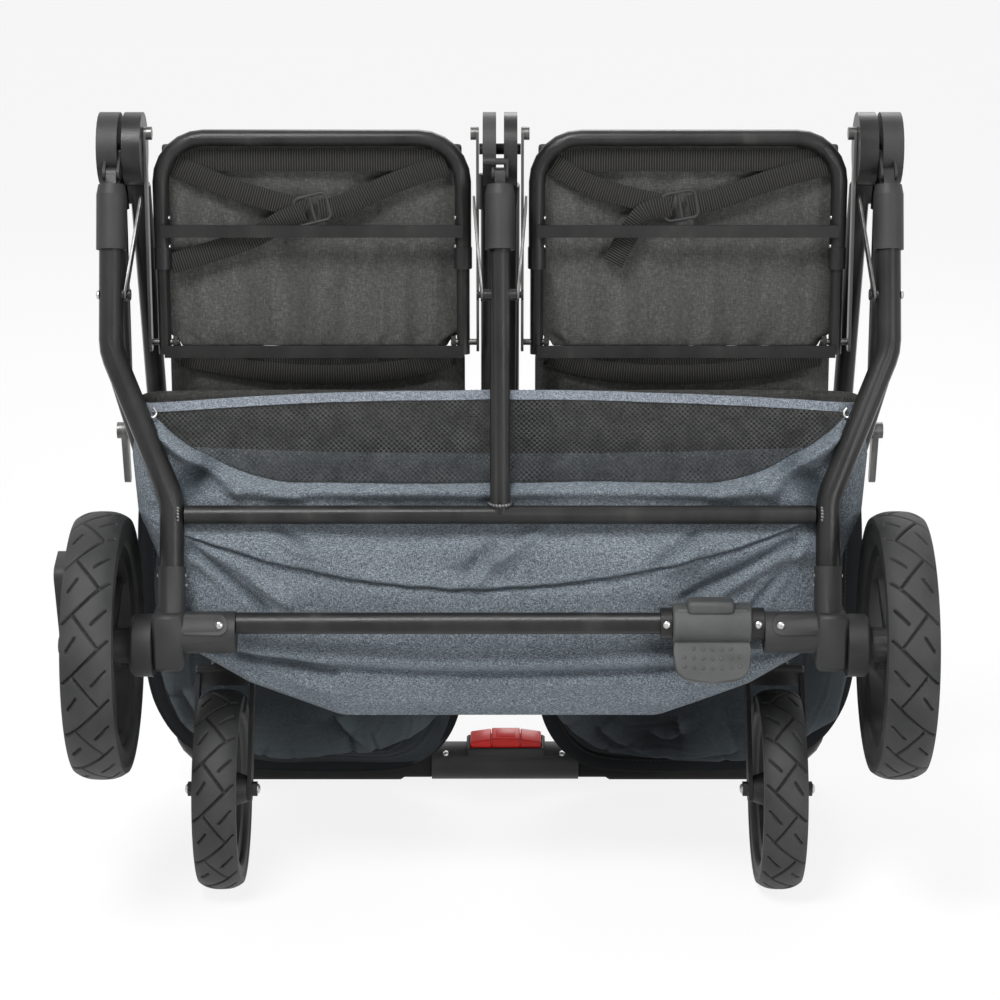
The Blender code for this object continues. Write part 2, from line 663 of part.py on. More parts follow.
# Rear wheels on the stub axles of the brake drums
def drum_and_stub(side):
    """The brake drum with its stub axle; on the left the stub also holds the storage hook."""
    stub_end = REAR_WHEEL_X + 0.0238
    parts = []
    if side < 0:
        stub_end = HOOK_X[1] + GAP
        parts.append(rod((side * stub_end, AXLE_Y, REAR_WHEEL_Z),
                         (side * (stub_end + 0.0027), AXLE_Y, REAR_WHEEL_Z), STUB_HEAD_R))
    parts.append(rod((side * DRUM_IN_X, AXLE_Y, REAR_WHEEL_Z),
                     (side * (stub_end + 0.001 * (side < 0)), AXLE_Y, REAR_WHEEL_Z), STUB_R))
    drum = turned([(DRUM_IN_X, 0), (DRUM_IN_X, DRUM_R), (DRUM_OUT_X - 0.003, DRUM_R),
                   (DRUM_OUT_X, DRUM_R - 0.004), (DRUM_OUT_X, 0)],
                  (0, AXLE_Y, REAR_WHEEL_Z), axis=(side, 0, 0))
    return joined(drum, *parts)


def rear_hub(side, centre):
    """The hub: a closed cap on the right, an open end under the hook on the left."""
    bore_r = STUB_R + PIVOT_CLEAR
    inner = DRUM_OUT_X + GAP - REAR_WHEEL_X
    if side < 0:
        outline = [(inner, bore_r), (inner, 0.016), (0.0205, 0.016), (0.0245, 0.012), (0.0245, bore_r)]
    else:
        outline = [(0.0241, 0), (0.0241, bore_r), (inner, bore_r), (inner, 0.016), (0.022, 0.016),
                   (0.028, 0.011), (0.028, 0)]
    return turned(outline, centre, axis=(side, 0, 0), steps=16)


for name, side in SIDES.items():
    hub_place = (side * REAR_WHEEL_X, AXLE_Y, REAR_WHEEL_Z)
    piece("brake_drum_" + name, drum_and_stub(side), GREY_PLASTIC, rear_hinge)
    axis = joint("rear_wheel_axis_" + name, hub_place)
    piece("rear_tyre_" + name,
          wheel_tyre(hub_place, REAR_WHEEL_R, REAR_TYRE_W, REAR_RIM_R, REAR_STEPS), TYRE_FOAM, axis)
    piece("rear_rim_" + name,
          wheel_rim(rear_hub(side, hub_place), hub_place, REAR_RIM_R, (0.017, 0.009), 6, 0.009, REAR_STEPS),
          BLACK_PLASTIC, axis)

HOOK_FACES = (-HOOK_X[0], -HOOK_X[1])
HOOK_BEND = (*HOOK_FACES, AXLE_Y - HOOK_LEAN, REAR_WHEEL_Z + HOOK_LENGTH, HOOK_END_R[1])
hook = joined(
    hull([(*HOOK_FACES, AXLE_Y, REAR_WHEEL_Z, HOOK_END_R[0]), HOOK_BEND]),
    hull([HOOK_BEND,
          (*HOOK_FACES, AXLE_Y - HOOK_NOSE[0], REAR_WHEEL_Z + HOOK_NOSE[1], HOOK_END_R[2])]))
piece("storage_hook", cut(hook, bore((-HOOK_X[0] + 0.01, AXLE_Y, REAR_WHEEL_Z),
                                     (-HOOK_X[1] - 0.01, AXLE_Y, REAR_WHEEL_Z), STUB_R + GAP)),
      BLACK_PLASTIC, hook_hinge)


# Rear legs with their tongues, link studs, sleeves and the middle leg with the cross bar
def link_stud(x, out):
    """The rivet that carries a seat link on a rear leg; out is the way it points."""
    y = rear_y(LINK_PIVOT_Z)
    face = x + out * (LINK_T + LINK_SLACK)
    return [rod((x - out * 0.008, y, LINK_PIVOT_Z), (x - out * GAP, y, LINK_PIVOT_Z), 0.005),
            rod((x - out * 0.001, y, LINK_PIVOT_Z), (face + out * 0.001, y, LINK_PIVOT_Z), LINK_STUD_R),
            rod((face, y, LINK_PIVOT_Z), (face + out * 0.002, y, LINK_PIVOT_Z), 0.005)]


def tongue(x):
    """The flat end of a rear leg between the clevis ears."""
    low = on_rear(x, SLEEVE_TOP + 0.006)
    faces = (x - TONGUE_HALF, x + TONGUE_HALF)
    return hull([(*faces, CLEVIS_Y, CLEVIS_Z, TONGUE_R), (*faces, low.y, low.z, TONGUE_R)])


def clevis_hole(x):
    """The hole through a tongue for the clevis pin."""
    return bore((x - 0.02, CLEVIS_Y, CLEVIS_Z), (x + 0.02, CLEVIS_Y, CLEVIS_Z),
                CLEVIS_PIN_R + PIVOT_CLEAR, sides=12)


def sleeve(x, leg_r):
    """The plastic ferrule round the top of a rear leg."""
    hole = (leg_r + GAP) / math.cos(math.pi / 16)
    ring = turned([(SLEEVE_TOP, hole), (SLEEVE_TOP, SLEEVE_NECK_R), (SLEEVE_TOP + 0.009, SLEEVE_R),
                   (SLEEVE_END, SLEEVE_R), (SLEEVE_END, hole)], (0, 0, 0), axis=REAR_DOWN, steps=16)
    ring.data.transform(Matrix.Translation((x, CLEVIS_Y, CLEVIS_Z)))
    return ring


def rear_leg(side):
    """One outer rear leg, cranked in below the basket hem."""
    top = on_rear(side * REAR_LEG_X, SLEEVE_TOP + 0.001)
    route = [(REAR_LEG_X, REAR_BEND_TOP_Z), (REAR_LEG_LOW_X, REAR_BEND_LOW_Z),
             (REAR_LEG_LOW_X, REAR_FOOT_Z)]
    tube = bent_tube([top] + [(side * x, rear_y(z), z) for x, z in route], REAR_LEG_R, 0.05)
    stud_x = side * (SIDE_LINK_LOW_X + LINK_T)
    leg = joined(tube, tongue(side * REAR_LEG_X), *link_stud(stud_x, -side))
    return cut(leg, clevis_hole(side * REAR_LEG_X))


cross_y = rear_y(CROSS_BAR_Z)
cross_half = REAR_LEG_LOW_X - REAR_LEG_R - GAP
centre_rear = joined(
    rod(on_rear(0, SLEEVE_TOP + 0.001), (0, cross_y, CROSS_BAR_Z), REAR_MID_R),
    tongue(0),
    rod((-cross_half, cross_y, CROSS_BAR_Z), (cross_half, cross_y, CROSS_BAR_Z), CROSS_BAR_R),
    *link_stud(MID_LINK_LOW_X, 1), *link_stud(-MID_LINK_LOW_X, -1))
piece("rear_centre_frame", cut(centre_rear, clevis_hole(0)), BLACK_STEEL, rear_hinge)
piece("rear_sleeve_centre", sleeve(0, REAR_MID_R), BLACK_PLASTIC, rear_hinge)
for name, side in SIDES.items():
    piece("rear_leg_" + name, rear_leg(side), BLACK_STEEL, rear_hinge)
    piece("rear_sleeve_" + name, sleeve(side * REAR_LEG_X, REAR_LEG_R), BLACK_PLASTIC, rear_hinge)


def axle_housing(side):
    """The moulding that joins a rear leg, the axle tube and a brake drum."""
    leg = side * REAR_LEG_LOW_X
    top = (leg, rear_y(SOCKET_RIM_Z), SOCKET_RIM_Z)
    block = box((side * HOUSING_MID_X, AXLE_Y - 0.019, AXLE_BLOCK_Z[0]),
                (side * HOUSING_OUT_X, AXLE_Y + 0.021, AXLE_BLOCK_Z[1]), 0.003)
    body = joined(
        block,
        rod((leg, rear_y(AXLE_BLOCK_Z[0] + 0.02), AXLE_BLOCK_Z[0] + 0.02), top, SOCKET_R, sides=16),
        rod((side * HOUSING_IN_X, AXLE_Y, HOUSING_TUBE_Z),
            (side * (HOUSING_MID_X + 0.004), AXLE_Y, HOUSING_TUBE_Z), HOUSING_TUBE_R, sides=16))
    low = REAR_FOOT_Z - GAP
    high = SOCKET_RIM_Z + 0.02
    return cut(body, bore((leg, rear_y(low), low), (leg, rear_y(high), high), REAR_LEG_R + GAP))


for name, side in SIDES.items():
    piece("axle_housing_" + name, axle_housing(side), BLACK_PLASTIC, rear_hinge)

axle_half = HOUSING_IN_X - GAP
collars = [rod((low, AXLE_Y, AXLE_TUBE_Z), (high, AXLE_Y, AXLE_TUBE_Z), AXLE_COLLAR_R, sides=20)
           for low, high in AXLE_COLLARS]
piece("rear_axle_tube", joined(rod((-axle_half, AXLE_Y, AXLE_TUBE_Z), (axle_half, AXLE_Y, AXLE_TUBE_Z),
                                   AXLE_TUBE_R), *collars), BLACK_STEEL, rear_hinge)

pedal_low = AXLE_COLLARS[0][1] + GAP
pedal_high = AXLE_COLLARS[1][0] - GAP
pedal = joined(
    rod((pedal_low, AXLE_Y, AXLE_TUBE_Z), (pedal_high, AXLE_Y, AXLE_TUBE_Z), PEDAL_R, sides=24),
    hull([(pedal_low, pedal_high, AXLE_Y - PEDAL_FLAP_ROOT[0], AXLE_TUBE_Z - PEDAL_FLAP_ROOT[1], 0.005),
          (pedal_low, pedal_high, AXLE_Y - PEDAL_FLAP_EDGE[0], AXLE_TUBE_Z - PEDAL_FLAP_EDGE[1], 0.004)]),
    box((pedal_low + PEDAL_TOGGLE_INSET, AXLE_Y + PEDAL_TOGGLE_Y[0], AXLE_TUBE_Z + PEDAL_TOGGLE_Z[0]),
        (pedal_high - PEDAL_TOGGLE_INSET, AXLE_Y + PEDAL_TOGGLE_Y[1], AXLE_TUBE_Z + PEDAL_TOGGLE_Z[1]),
        0.002))
piece("brake_pedal", cut(pedal, bore((pedal_low - 0.01, AXLE_Y, AXLE_TUBE_Z),
                                     (pedal_high + 0.01, AXLE_Y, AXLE_TUBE_Z), AXLE_TUBE_R + GAP)),
      GREY_PLASTIC, pedal_hinge)


# Seat links
for side_name, side in SIDES.items():
    for place, low_x, high_x in (("outer", SIDE_LINK_LOW_X, SIDE_LINK_HIGH_X),
                                 ("inner", MID_LINK_LOW_X, MID_LINK_HIGH_X)):
        link = hull([(side * low_x, side * (low_x + LINK_T), rear_y(LINK_PIVOT_Z), LINK_PIVOT_Z, LINK_R),
                     (side * high_x, side * (high_x + LINK_T), LINK_TOP_Y, LINK_TOP_Z, LINK_R - 0.001)])
        hole = bore((side * (low_x - 0.01), rear_y(LINK_PIVOT_Z), LINK_PIVOT_Z),
                    (side * (low_x + 0.01), rear_y(LINK_PIVOT_Z), LINK_PIVOT_Z),
                    LINK_STUD_R + GAP, sides=12)
        piece(f"seat_link_{side_name}_{place}", cut(link, hole), GREY_STEEL, link_hinge)


# Seat hangers, the plates on the hinge pins that carry each seat's pivot studs
def seat_hanger(side, near, inward):
    """One hanger: plate, bolt head at the top and pivot stud at the foot."""
    far = near + HANGER_T
    seat_face = near if inward < 0 else far
    stud_from = far if inward < 0 else near
    stud_end = seat_face + inward * STUD_L
    faces = (side * near, side * far)
    return joined(
        hull([(*faces, HANGER_Y, HANGER_TOP_Z - HANGER_R, HANGER_R),
              (*faces, HANGER_Y, HANGER_LOW_Z + HANGER_R, HANGER_R)]),
        rod((side * (seat_face - inward * 0.001), HANGER_Y, HANGER_BOLT_Z),
            (side * (seat_face + inward * 0.005), HANGER_Y, HANGER_BOLT_Z), HANGER_BOLT_R, sides=12),
        rod((side * (stud_from + inward * 0.001), 0, RECLINE_Z), (side * stud_end, 0, RECLINE_Z),
            RECLINE_STUD_R))


def back_frame(side):
    """A seat back's U tube with thinner feet, collars and two flat bars."""
    knee = BACK_COLLAR_LOW_Z + 0.004
    parts = []
    for x in (BACK_IN_X, BACK_OUT_X):
        parts.append(rod((side * x, 0, BACK_COLLAR_LOW_Z), (side * x, 0, BACK_COLLAR_TOP_Z), BACK_COLLAR_R))
        parts.append(rod((side * x, 0, BACK_FOOT_Z), (side * x, 0, knee + 0.005), BACK_FOOT_R))
    for z, tube_r in zip(BACK_BAR_Z, (BACK_TUBE_R, BACK_FOOT_R)):
        near = -tube_r + 0.0007
        parts.append(box((side * BACK_IN_X, near - BACK_BAR_T, z - BACK_BAR_H / 2),
                         (side * BACK_OUT_X, near, z + BACK_BAR_H / 2)))
    route = [(BACK_IN_X, knee), (BACK_IN_X, BACK_TOP_Z), (BACK_OUT_X, BACK_TOP_Z), (BACK_OUT_X, knee)]
    hoop = bent_tube([(side * x, 0, z) for x, z in route], BACK_TUBE_R, BACK_CORNER)
    hole = bore((side * 0.01, 0, RECLINE_Z), (side * 0.34, 0, RECLINE_Z), RECLINE_STUD_R + GAP, sides=12)
    return cut(joined(hoop, *parts), hole)


def seat_base(side):
    """A seat base pad with the two eyes that hang it on the hangers' studs."""
    parts = []
    for x in (HANGER_OUT_X - STUD_L + 0.0005, HANGER_IN_X + HANGER_T + STUD_L - EYE_T - 0.0005):
        faces = (side * x, side * (x + EYE_T))
        parts.append(hull([(*faces, 0, RECLINE_Z, 0.005),
                           (*faces, BASE_PAD_Y[0] + 0.008, BASE_PAD_Z[1] - 0.006, 0.005)]))
    pad = box((side * PAD_IN_X, BASE_PAD_Y[0], BASE_PAD_Z[0]),
              (side * PAD_OUT_X, BASE_PAD_Y[1], BASE_PAD_Z[1]), 0.008)
    hole = bore((side * 0.01, 0, RECLINE_Z), (side * 0.34, 0, RECLINE_Z), RECLINE_STUD_R + GAP, sides=12)
    return cut(joined(pad, *parts), hole)


for name, side in SIDES.items():
    piece(f"seat_hanger_{name}_outer", seat_hanger(side, HANGER_OUT_X, -1), GREY_STEEL)
    piece(f"seat_hanger_{name}_inner", seat_hanger(side, HANGER_IN_X, 1), GREY_STEEL)
    recline = joint("seat_back_axis_" + name, (side * (BACK_IN_X + BACK_OUT_X) / 2, 0, RECLINE_Z))
    fold = joint("seat_base_axis_" + name, (side * (PAD_IN_X + PAD_OUT_X) / 2, 0, RECLINE_Z))
    piece("back_frame_" + name, back_frame(side), BLACK_STEEL, recline)
    back_pad = box((side * PAD_IN_X, BACK_PAD_Y[0], BACK_PAD_Z[0]),
                   (side * PAD_OUT_X, BACK_PAD_Y[1], BACK_PAD_Z[1]), 0.004)
    piece("seat_back_" + name, back_pad, LINING_CLOTH, recline)
    piece("seat_base_" + name, seat_base(side), LINING_CLOTH, fold)


# Handle: two arms and a centre post on the hinges, one crossbar with the fold trigger
def knuckle(inner, outer):
    """The handle's disc at a hinge, with a lug along the arm."""
    end = on_handle(0, HANDLE_ARM_START + 0.012)
    return joined(hull([(inner, outer, 0, HINGE_Z, HINGE_R)], sides=24),
                  hull([(inner, outer, 0, HINGE_Z, 0.016), (inner, outer, end.y, end.z, 0.007)]))


def hinge_bore(inner, outer):
    """The hole through a knuckle for the hinge pin."""
    return bore((inner - 0.01, 0, HINGE_Z), (outer + 0.01, 0, HINGE_Z), HINGE_PIN_R + PIVOT_CLEAR)


def handle_arm(side):
    """One arm, from its knuckle down to the crossbar's end."""
    plate_high = SIDE_PLANE_X - SIDE_SLOT / 2
    plate_low = plate_high - SIDE_HANDLE_PLATE
    route = [on_handle(side * HANDLE_ARM_X, HANDLE_ARM_START), on_handle(side * HANDLE_ARM_X, HANDLE_L),
             on_handle(side * (CROSSBAR_HALF + GAP), HANDLE_L)]
    low, high = sorted((side * plate_low, side * plate_high))
    return cut(joined(bent_tube(route, HANDLE_ARM_R, HANDLE_CORNER), knuckle(low, high)),
               hinge_bore(low, high))


for name, side in SIDES.items():
    piece("handle_arm_" + name, handle_arm(side), BLACK_STEEL, handle_hinge)

brace_half = HANDLE_ARM_X - HANDLE_ARM_R - GAP
mid_low = MID_SLOT / 2
mid_high = MID_SLOT / 2 + MID_PLATE
centre_post = joined(
    rod(on_handle(HANDLE_POST_X, HANDLE_ARM_START), on_handle(HANDLE_POST_X, HANDLE_POST_L),
        HANDLE_POST_R),
    knuckle(mid_low, mid_high),
    rod(on_handle(-brace_half, HANDLE_POST_L), on_handle(brace_half, HANDLE_POST_L), HANDLE_BRACE_R,
        sides=12))
piece("handle_centre_post", cut(centre_post, hinge_bore(mid_low, mid_high)), BLACK_STEEL, handle_hinge)
piece("handle_crossbar", rod(on_handle(-CROSSBAR_HALF, HANDLE_L), on_handle(CROSSBAR_HALF, HANDLE_L),
                             CROSSBAR_R, sides=24), BLACK_STEEL, handle_hinge)

grip_axis = on_handle(0, HANDLE_L)
grip_bore = (CROSSBAR_R + GAP) / math.cos(math.pi / 16)
for name, side in SIDES.items():
    neck = max(side * TRIGGER_CASE_X[0], side * TRIGGER_CASE_X[1]) + GAP
    body = neck + GRIP_NECK_L
    grip = turned([(neck, grip_bore), (neck, GRIP_NECK_R), (body, GRIP_NECK_R), (body + 0.004, GRIP_R),
                   (GRIP_OUT_X - 0.003, GRIP_R), (GRIP_OUT_X, GRIP_R - 0.003), (GRIP_OUT_X, grip_bore)],
                  grip_axis, axis=(side, 0, 0), steps=16)
    piece("handle_grip_" + name, grip, GRIP_FOAM, handle_hinge)

TOWARDS_HINGE = -HANDLE_DOWN
case = joined(
    rod(on_handle(TRIGGER_CASE_X[0], HANDLE_L), on_handle(TRIGGER_CASE_X[1], HANDLE_L),
        TRIGGER_CASE_R, sides=24),
    placed(box((BEZEL_X[0], -BEZEL_HALF, 0), (BEZEL_X[1], BEZEL_HALF, BEZEL_TOP), 0.002),
           grip_axis, HANDLE_FAR, TOWARDS_HINGE))
pocket_low = BEZEL_X[0] + POCKET_WALL
pocket_high = BEZEL_X[1] - POCKET_WALL
piece("trigger_case", cut(
    case,
    bore(on_handle(TRIGGER_CASE_X[0] - 0.01, HANDLE_L), on_handle(TRIGGER_CASE_X[1] + 0.01, HANDLE_L),
         CROSSBAR_R + GAP),
    placed(box((pocket_low, -POCKET_HALF, POCKET_FLOOR), (pocket_high, POCKET_HALF, BEZEL_TOP + 0.01)),
           grip_axis, HANDLE_FAR, TOWARDS_HINGE)), BLACK_PLASTIC, handle_hinge)
trigger = box((pocket_low + GAP, -POCKET_HALF + GAP, POCKET_FLOOR + TRIGGER_TRAVEL + PIVOT_CLEAR),
              (pocket_high - GAP, POCKET_HALF - GAP, TRIGGER_TOP), 0.0015)
piece("fold_trigger", placed(trigger, grip_axis, HANDLE_FAR, TOWARDS_HINGE), RED_PLASTIC, trigger_slide)


# Canopies: a wire bow clipped to the arm and the post, and the gathered cloth on it
def canopy_bow(side):
    """The wire bow with the clip outside the arm and the plug at the centre post."""
    out_face = HANDLE_ARM_X + HANDLE_ARM_R + GAP
    in_face = side * HANDLE_POST_X + HANDLE_POST_R + GAP
    hub = on_handle(0, CANOPY_PIVOT)
    lever = on_handle(0, CANOPY_PIVOT + 0.050, 0.006)
    bend_at = CANOPY_PIVOT + 0.035
    route = [(BOW_OUT_X, CANOPY_PIVOT, 0), (BOW_OUT_X, bend_at, BOW_NEAR), (BOW_OUT_X, BOW_REACH, BOW_NEAR),
             (BOW_IN_X, BOW_REACH, BOW_NEAR), (BOW_IN_X, bend_at, BOW_NEAR), (BOW_IN_X, CANOPY_PIVOT, 0)]
    wire = bent_tube([on_handle(side * x, along, near) for x, along, near in route],
                     CANOPY_BOW_R, 0.02, sides=8)
    return joined(
        wire,
        rod((side * out_face, hub.y, hub.z), (side * (out_face + 0.018), hub.y, hub.z), 0.011),
        rod((side * (out_face + 0.017), hub.y, hub.z), (side * CLIP_OUT_X, hub.y, hub.z), 0.008),
        hull([(side * (CLIP_OUT_X - 0.010), side * (CLIP_OUT_X - 0.004), hub.y, hub.z, 0.0075),
              (side * (CLIP_OUT_X - 0.010), side * (CLIP_OUT_X - 0.004), lever.y, lever.z, 0.005)]),
        rod((side * in_face, hub.y, hub.z), (side * (BOW_IN_X + 0.004), hub.y, hub.z), 0.006))


def canopy_cloth(side):
    """The folded cloth as one closed form: it swells away from its bow and rounds off below."""
    rings = []
    for above, outer_x, inner_x, swell in CANOPY_STATIONS:
        along = HANDLE_L - above
        near = BOW_NEAR + CANOPY_BOW_R + GAP
        far = near + swell
        soft = min(0.012, swell / 2)
        corners = [(inner_x + soft, near), (outer_x - soft, near), (outer_x, near + soft),
                   (outer_x, far - soft), (outer_x - soft, far), (inner_x + soft, far),
                   (inner_x, far - soft), (inner_x, near + soft)]
        rings.append([on_handle(side * x, along, n) for x, n in corners])
    return loft(rings)


for name, side in SIDES.items():
    axis = joint("canopy_axis_" + name, on_handle(side * HANDLE_ARM_X, CANOPY_PIVOT))
    piece("canopy_bow_" + name, canopy_bow(side), GREY_STEEL, axis)
    piece("canopy_" + name, canopy_cloth(side), CANOPY_CLOTH, axis)


# Storage basket: an open pouch of cloth under the seats
def basket_ring(z, half, rear, front, inset):
    """One level of the pouch, a rounded box seen from above; the hem sags at its ends."""
    half -= inset
    rear += inset
    front -= inset
    corner = min(0.02, (front - rear) * 0.45)
    middle = (rear + front) / 2
    outline = []
    for turn_x, turn_y in ((1, 1), (-1, 1), (-1, -1), (1, -1)):
        for step in range(4):
            angle = math.radians(30 * step)
            spin = (math.cos(angle), math.sin(angle))
            if turn_x * turn_y < 0:
                spin = (spin[1], spin[0])
            x = turn_x * (half - corner + corner * spin[0])
            y = middle + turn_y * ((front - rear) / 2 - corner + corner * spin[1])
            outline.append((x, y))
    rise = BASKET_HEM_RISE if z >= BASKET_HEM_Z - 0.04 else 0.0
    return [(x, y, z + rise * (1 - (x / half) ** 2)) for x, y in outline]


def basket():
    """The pouch, outside then inside, joined at the hem."""
    outside = []
    inside = []
    for z, half, rear, front in BASKET_LEVELS:
        if rear is None:
            rear = rear_y(z) + REAR_LEG_R + 0.0008
        outside.append(basket_ring(z, half, rear, front, 0.0))
        inside.append(basket_ring(z, half, rear, front, BASKET_WALL))
    inside[0] = [(x, y, z + BASKET_WALL) for x, y, z in inside[0]]
    return loft(outside + inside[::-1])


piece("basket", basket(), DENIM, rear_hinge)
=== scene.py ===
"""The looks of the folded side-by-side double stroller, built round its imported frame."""
import json
import math

import bmesh
import bpy
from mathutils import Matrix, Vector, noise


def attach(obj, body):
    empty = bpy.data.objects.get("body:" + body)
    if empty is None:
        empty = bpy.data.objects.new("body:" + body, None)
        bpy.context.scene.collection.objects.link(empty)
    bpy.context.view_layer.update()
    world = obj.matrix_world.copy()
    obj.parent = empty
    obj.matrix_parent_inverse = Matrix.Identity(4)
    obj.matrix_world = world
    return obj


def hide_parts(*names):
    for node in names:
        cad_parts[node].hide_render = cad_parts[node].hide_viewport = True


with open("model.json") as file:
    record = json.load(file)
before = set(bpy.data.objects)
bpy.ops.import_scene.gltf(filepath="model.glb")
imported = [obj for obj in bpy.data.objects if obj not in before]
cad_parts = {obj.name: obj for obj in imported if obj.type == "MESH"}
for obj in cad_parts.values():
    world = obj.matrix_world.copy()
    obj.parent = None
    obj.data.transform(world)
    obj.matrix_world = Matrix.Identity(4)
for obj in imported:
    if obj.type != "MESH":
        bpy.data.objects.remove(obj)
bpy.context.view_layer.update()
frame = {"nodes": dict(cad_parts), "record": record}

nodes = frame["nodes"]
body_of = {node: body for body, group in frame["record"]["behaviour"]["bodies"].items()
           for node in group}

# Studio: a pale floor that runs up into a pale backdrop, two large soft lamps and an
# even sky.  The camera stands behind the stroller, 14 degrees above its middle.
VIEW_RISE = math.radians(14)
VIEW_DISTANCE = 2.609
VIEW_HEIGHT = 0.3587
camera_data = bpy.data.cameras.new("view_camera")
camera_data.lens = 101.16
camera = bpy.data.objects.new("view_camera", camera_data)
camera.location = (0, -VIEW_DISTANCE * math.cos(VIEW_RISE),
                   VIEW_HEIGHT + VIEW_DISTANCE * math.sin(VIEW_RISE))
camera.rotation_euler = (math.radians(90) - VIEW_RISE, 0, 0)
bpy.context.scene.collection.objects.link(camera)
bpy.context.scene.camera = camera
bpy.context.scene.view_settings.view_transform = "Standard"


class Wire:
    """One socket of a material's tree, on which Python arithmetic adds Math nodes."""

    def __init__(self, tree, socket):
        self.tree = tree
        self.socket = socket

    def calc(self, operation, *values):
        return add_node(self.tree, "ShaderNodeMath", {"operation": operation}, values)

    def __add__(self, other):
        return self.calc("ADD", self, other)

    def __radd__(self, other):
        return self.calc("ADD", other, self)

    def __sub__(self, other):
        return self.calc("SUBTRACT", self, other)

    def __rsub__(self, other):
        return self.calc("SUBTRACT", other, self)

    def __mul__(self, other):
        return self.calc("MULTIPLY", self, other)

    def __rmul__(self, other):
        return self.calc("MULTIPLY", other, self)

    def __gt__(self, other):
        return self.calc("GREATER_THAN", self, other)


def add_node(tree, kind, settings=None, values=(), out=0):
    """A node of a kind, with its settings first and then the values or wires of its sockets."""
    made = tree.nodes.new(kind)
    for name, setting in (settings or {}).items():
        if name == "stops":
            ramp = made.color_ramp.elements
            for number, (place, colour) in enumerate(setting):
                stop = ramp[number] if number < 2 else ramp.new(place)
                stop.position = place
                stop.color = (*colour, 1)
        else:
            setattr(made, name, setting)
    for key, value in (values.items() if isinstance(values, dict) else enumerate(values)):
        if isinstance(value, Wire):
            tree.links.new(value.socket, made.inputs[key])
        else:
            made.inputs[key].default_value = value
    return Wire(tree, made.outputs[out])


def finish(name, roughness, metallic=0.0, **constants):
    """A new material with constant settings on its shader: the material and its tree."""
    material = bpy.data.materials.new(name)
    material.use_nodes = True
    tree = material.node_tree
    shader = tree.nodes["Principled BSDF"]
    shader.inputs["Roughness"].default_value = roughness
    shader.inputs["Metallic"].default_value = metallic
    for socket, value in constants.items():
        shader.inputs[socket.replace("_", " ")].default_value = value
    return material, tree


def feed(tree, **sockets):
    """Join wires to the shader's sockets."""
    shader = tree.nodes["Principled BSDF"]
    for socket, wire in sockets.items():
        tree.links.new(wire.socket, shader.inputs[socket.replace("_", " ")])


def place(tree, scale=(1, 1, 1)):
    """Object coordinates, stretched by scale."""
    return add_node(tree, "ShaderNodeMapping", {}, {
        "Vector": add_node(tree, "ShaderNodeTexCoord", out="Object"), "Scale": scale})


def cloud(tree, scale, detail=3.0, stretch=(1, 1, 1)):
    """Soft noise in object space, 0 to 1."""
    return add_node(tree, "ShaderNodeTexNoise", {},
                    {"Vector": place(tree, stretch), "Scale": scale, "Detail": detail})


def tones(tree, mask, *stops):
    """A colour ramp over a mask."""
    return add_node(tree, "ShaderNodeValToRGB", {"stops": stops}, {0: mask})


def bump(tree, height, distance, strength=1.0):
    """A Bump node over a height wire, in metres."""
    return add_node(tree, "ShaderNodeBump", {},
                    {"Height": height, "Distance": distance, "Strength": strength})


floor_white, floor_tree = finish("floor_white", 0.6, Base_Color=(0.93, 0.93, 0.93, 1))
stage_mesh = bmesh.new()
profile = [stage_mesh.verts.new((-14, -14, 0)), stage_mesh.verts.new((-14, 9, 0))]
for step in range(1, 10):
    angle = math.radians(10 * step)
    profile.append(stage_mesh.verts.new((-14, 9 + 2 * math.sin(angle), 2 - 2 * math.cos(angle))))
profile.append(stage_mesh.verts.new((-14, 11, 12)))
runs = [stage_mesh.edges.new(pair) for pair in zip(profile, profile[1:])]
swept = bmesh.ops.extrude_edge_only(stage_mesh, edges=runs)
bmesh.ops.translate(stage_mesh, vec=(28, 0, 0),
                    verts=[item for item in swept["geom"] if isinstance(item, bmesh.types.BMVert)])
bmesh.ops.recalc_face_normals(stage_mesh, faces=stage_mesh.faces)
floor_data = bpy.data.meshes.new("studio_floor")
stage_mesh.to_mesh(floor_data)
stage_mesh.free()
floor_data.materials.append(floor_white)
floor_data.shade_smooth()
floor = bpy.data.objects.new("studio_floor", floor_data)
bpy.context.scene.collection.objects.link(floor)

sky = bpy.data.worlds.new("studio_sky")
sky.use_nodes = True
bpy.context.scene.world = sky


def white_to_eye(tree, shader, target, share):
    """Mix white light into what camera, mirror and glass rays see of a surface or the sky."""
    paths = tree.nodes.new("ShaderNodeLightPath")
    seen = Wire(tree, paths.outputs["Is Camera Ray"])
    for other in ("Is Glossy Ray", "Is Transmission Ray"):
        seen = seen.calc("MAXIMUM", seen, Wire(tree, paths.outputs[other]))
    white = add_node(tree, "ShaderNodeEmission", {}, {"Color": (1, 1, 1, 1), "Strength": 1.0})
    mixed = add_node(tree, "ShaderNodeMixShader", {}, {0: seen * share, 1: shader, 2: white})
    tree.links.new(mixed.socket, target)


sky_tree = sky.node_tree
lit = add_node(sky_tree, "ShaderNodeBackground", {}, {"Color": (1, 1, 1, 1), "Strength": 0.36})
white_to_eye(sky_tree, lit, sky_tree.nodes["World Output"].inputs["Surface"], 1.0)
white_to_eye(floor_tree, Wire(floor_tree, floor_tree.nodes["Principled BSDF"].outputs[0]),
             floor_tree.nodes["Material Output"].inputs["Surface"], 0.86)


def soft_lamp(name, spot, size, power):
    """A square area lamp that faces the stroller's middle."""
    lamp = bpy.data.lights.new(name, "AREA")
    lamp.size = size
    lamp.energy = power
    holder = bpy.data.objects.new(name, lamp)
    holder.location = spot
    aim = Vector((0, 0, 0.35)) - Vector(spot)
    holder.rotation_euler = aim.to_track_quat("-Z", "Y").to_euler()
    bpy.context.scene.collection.objects.link(holder)


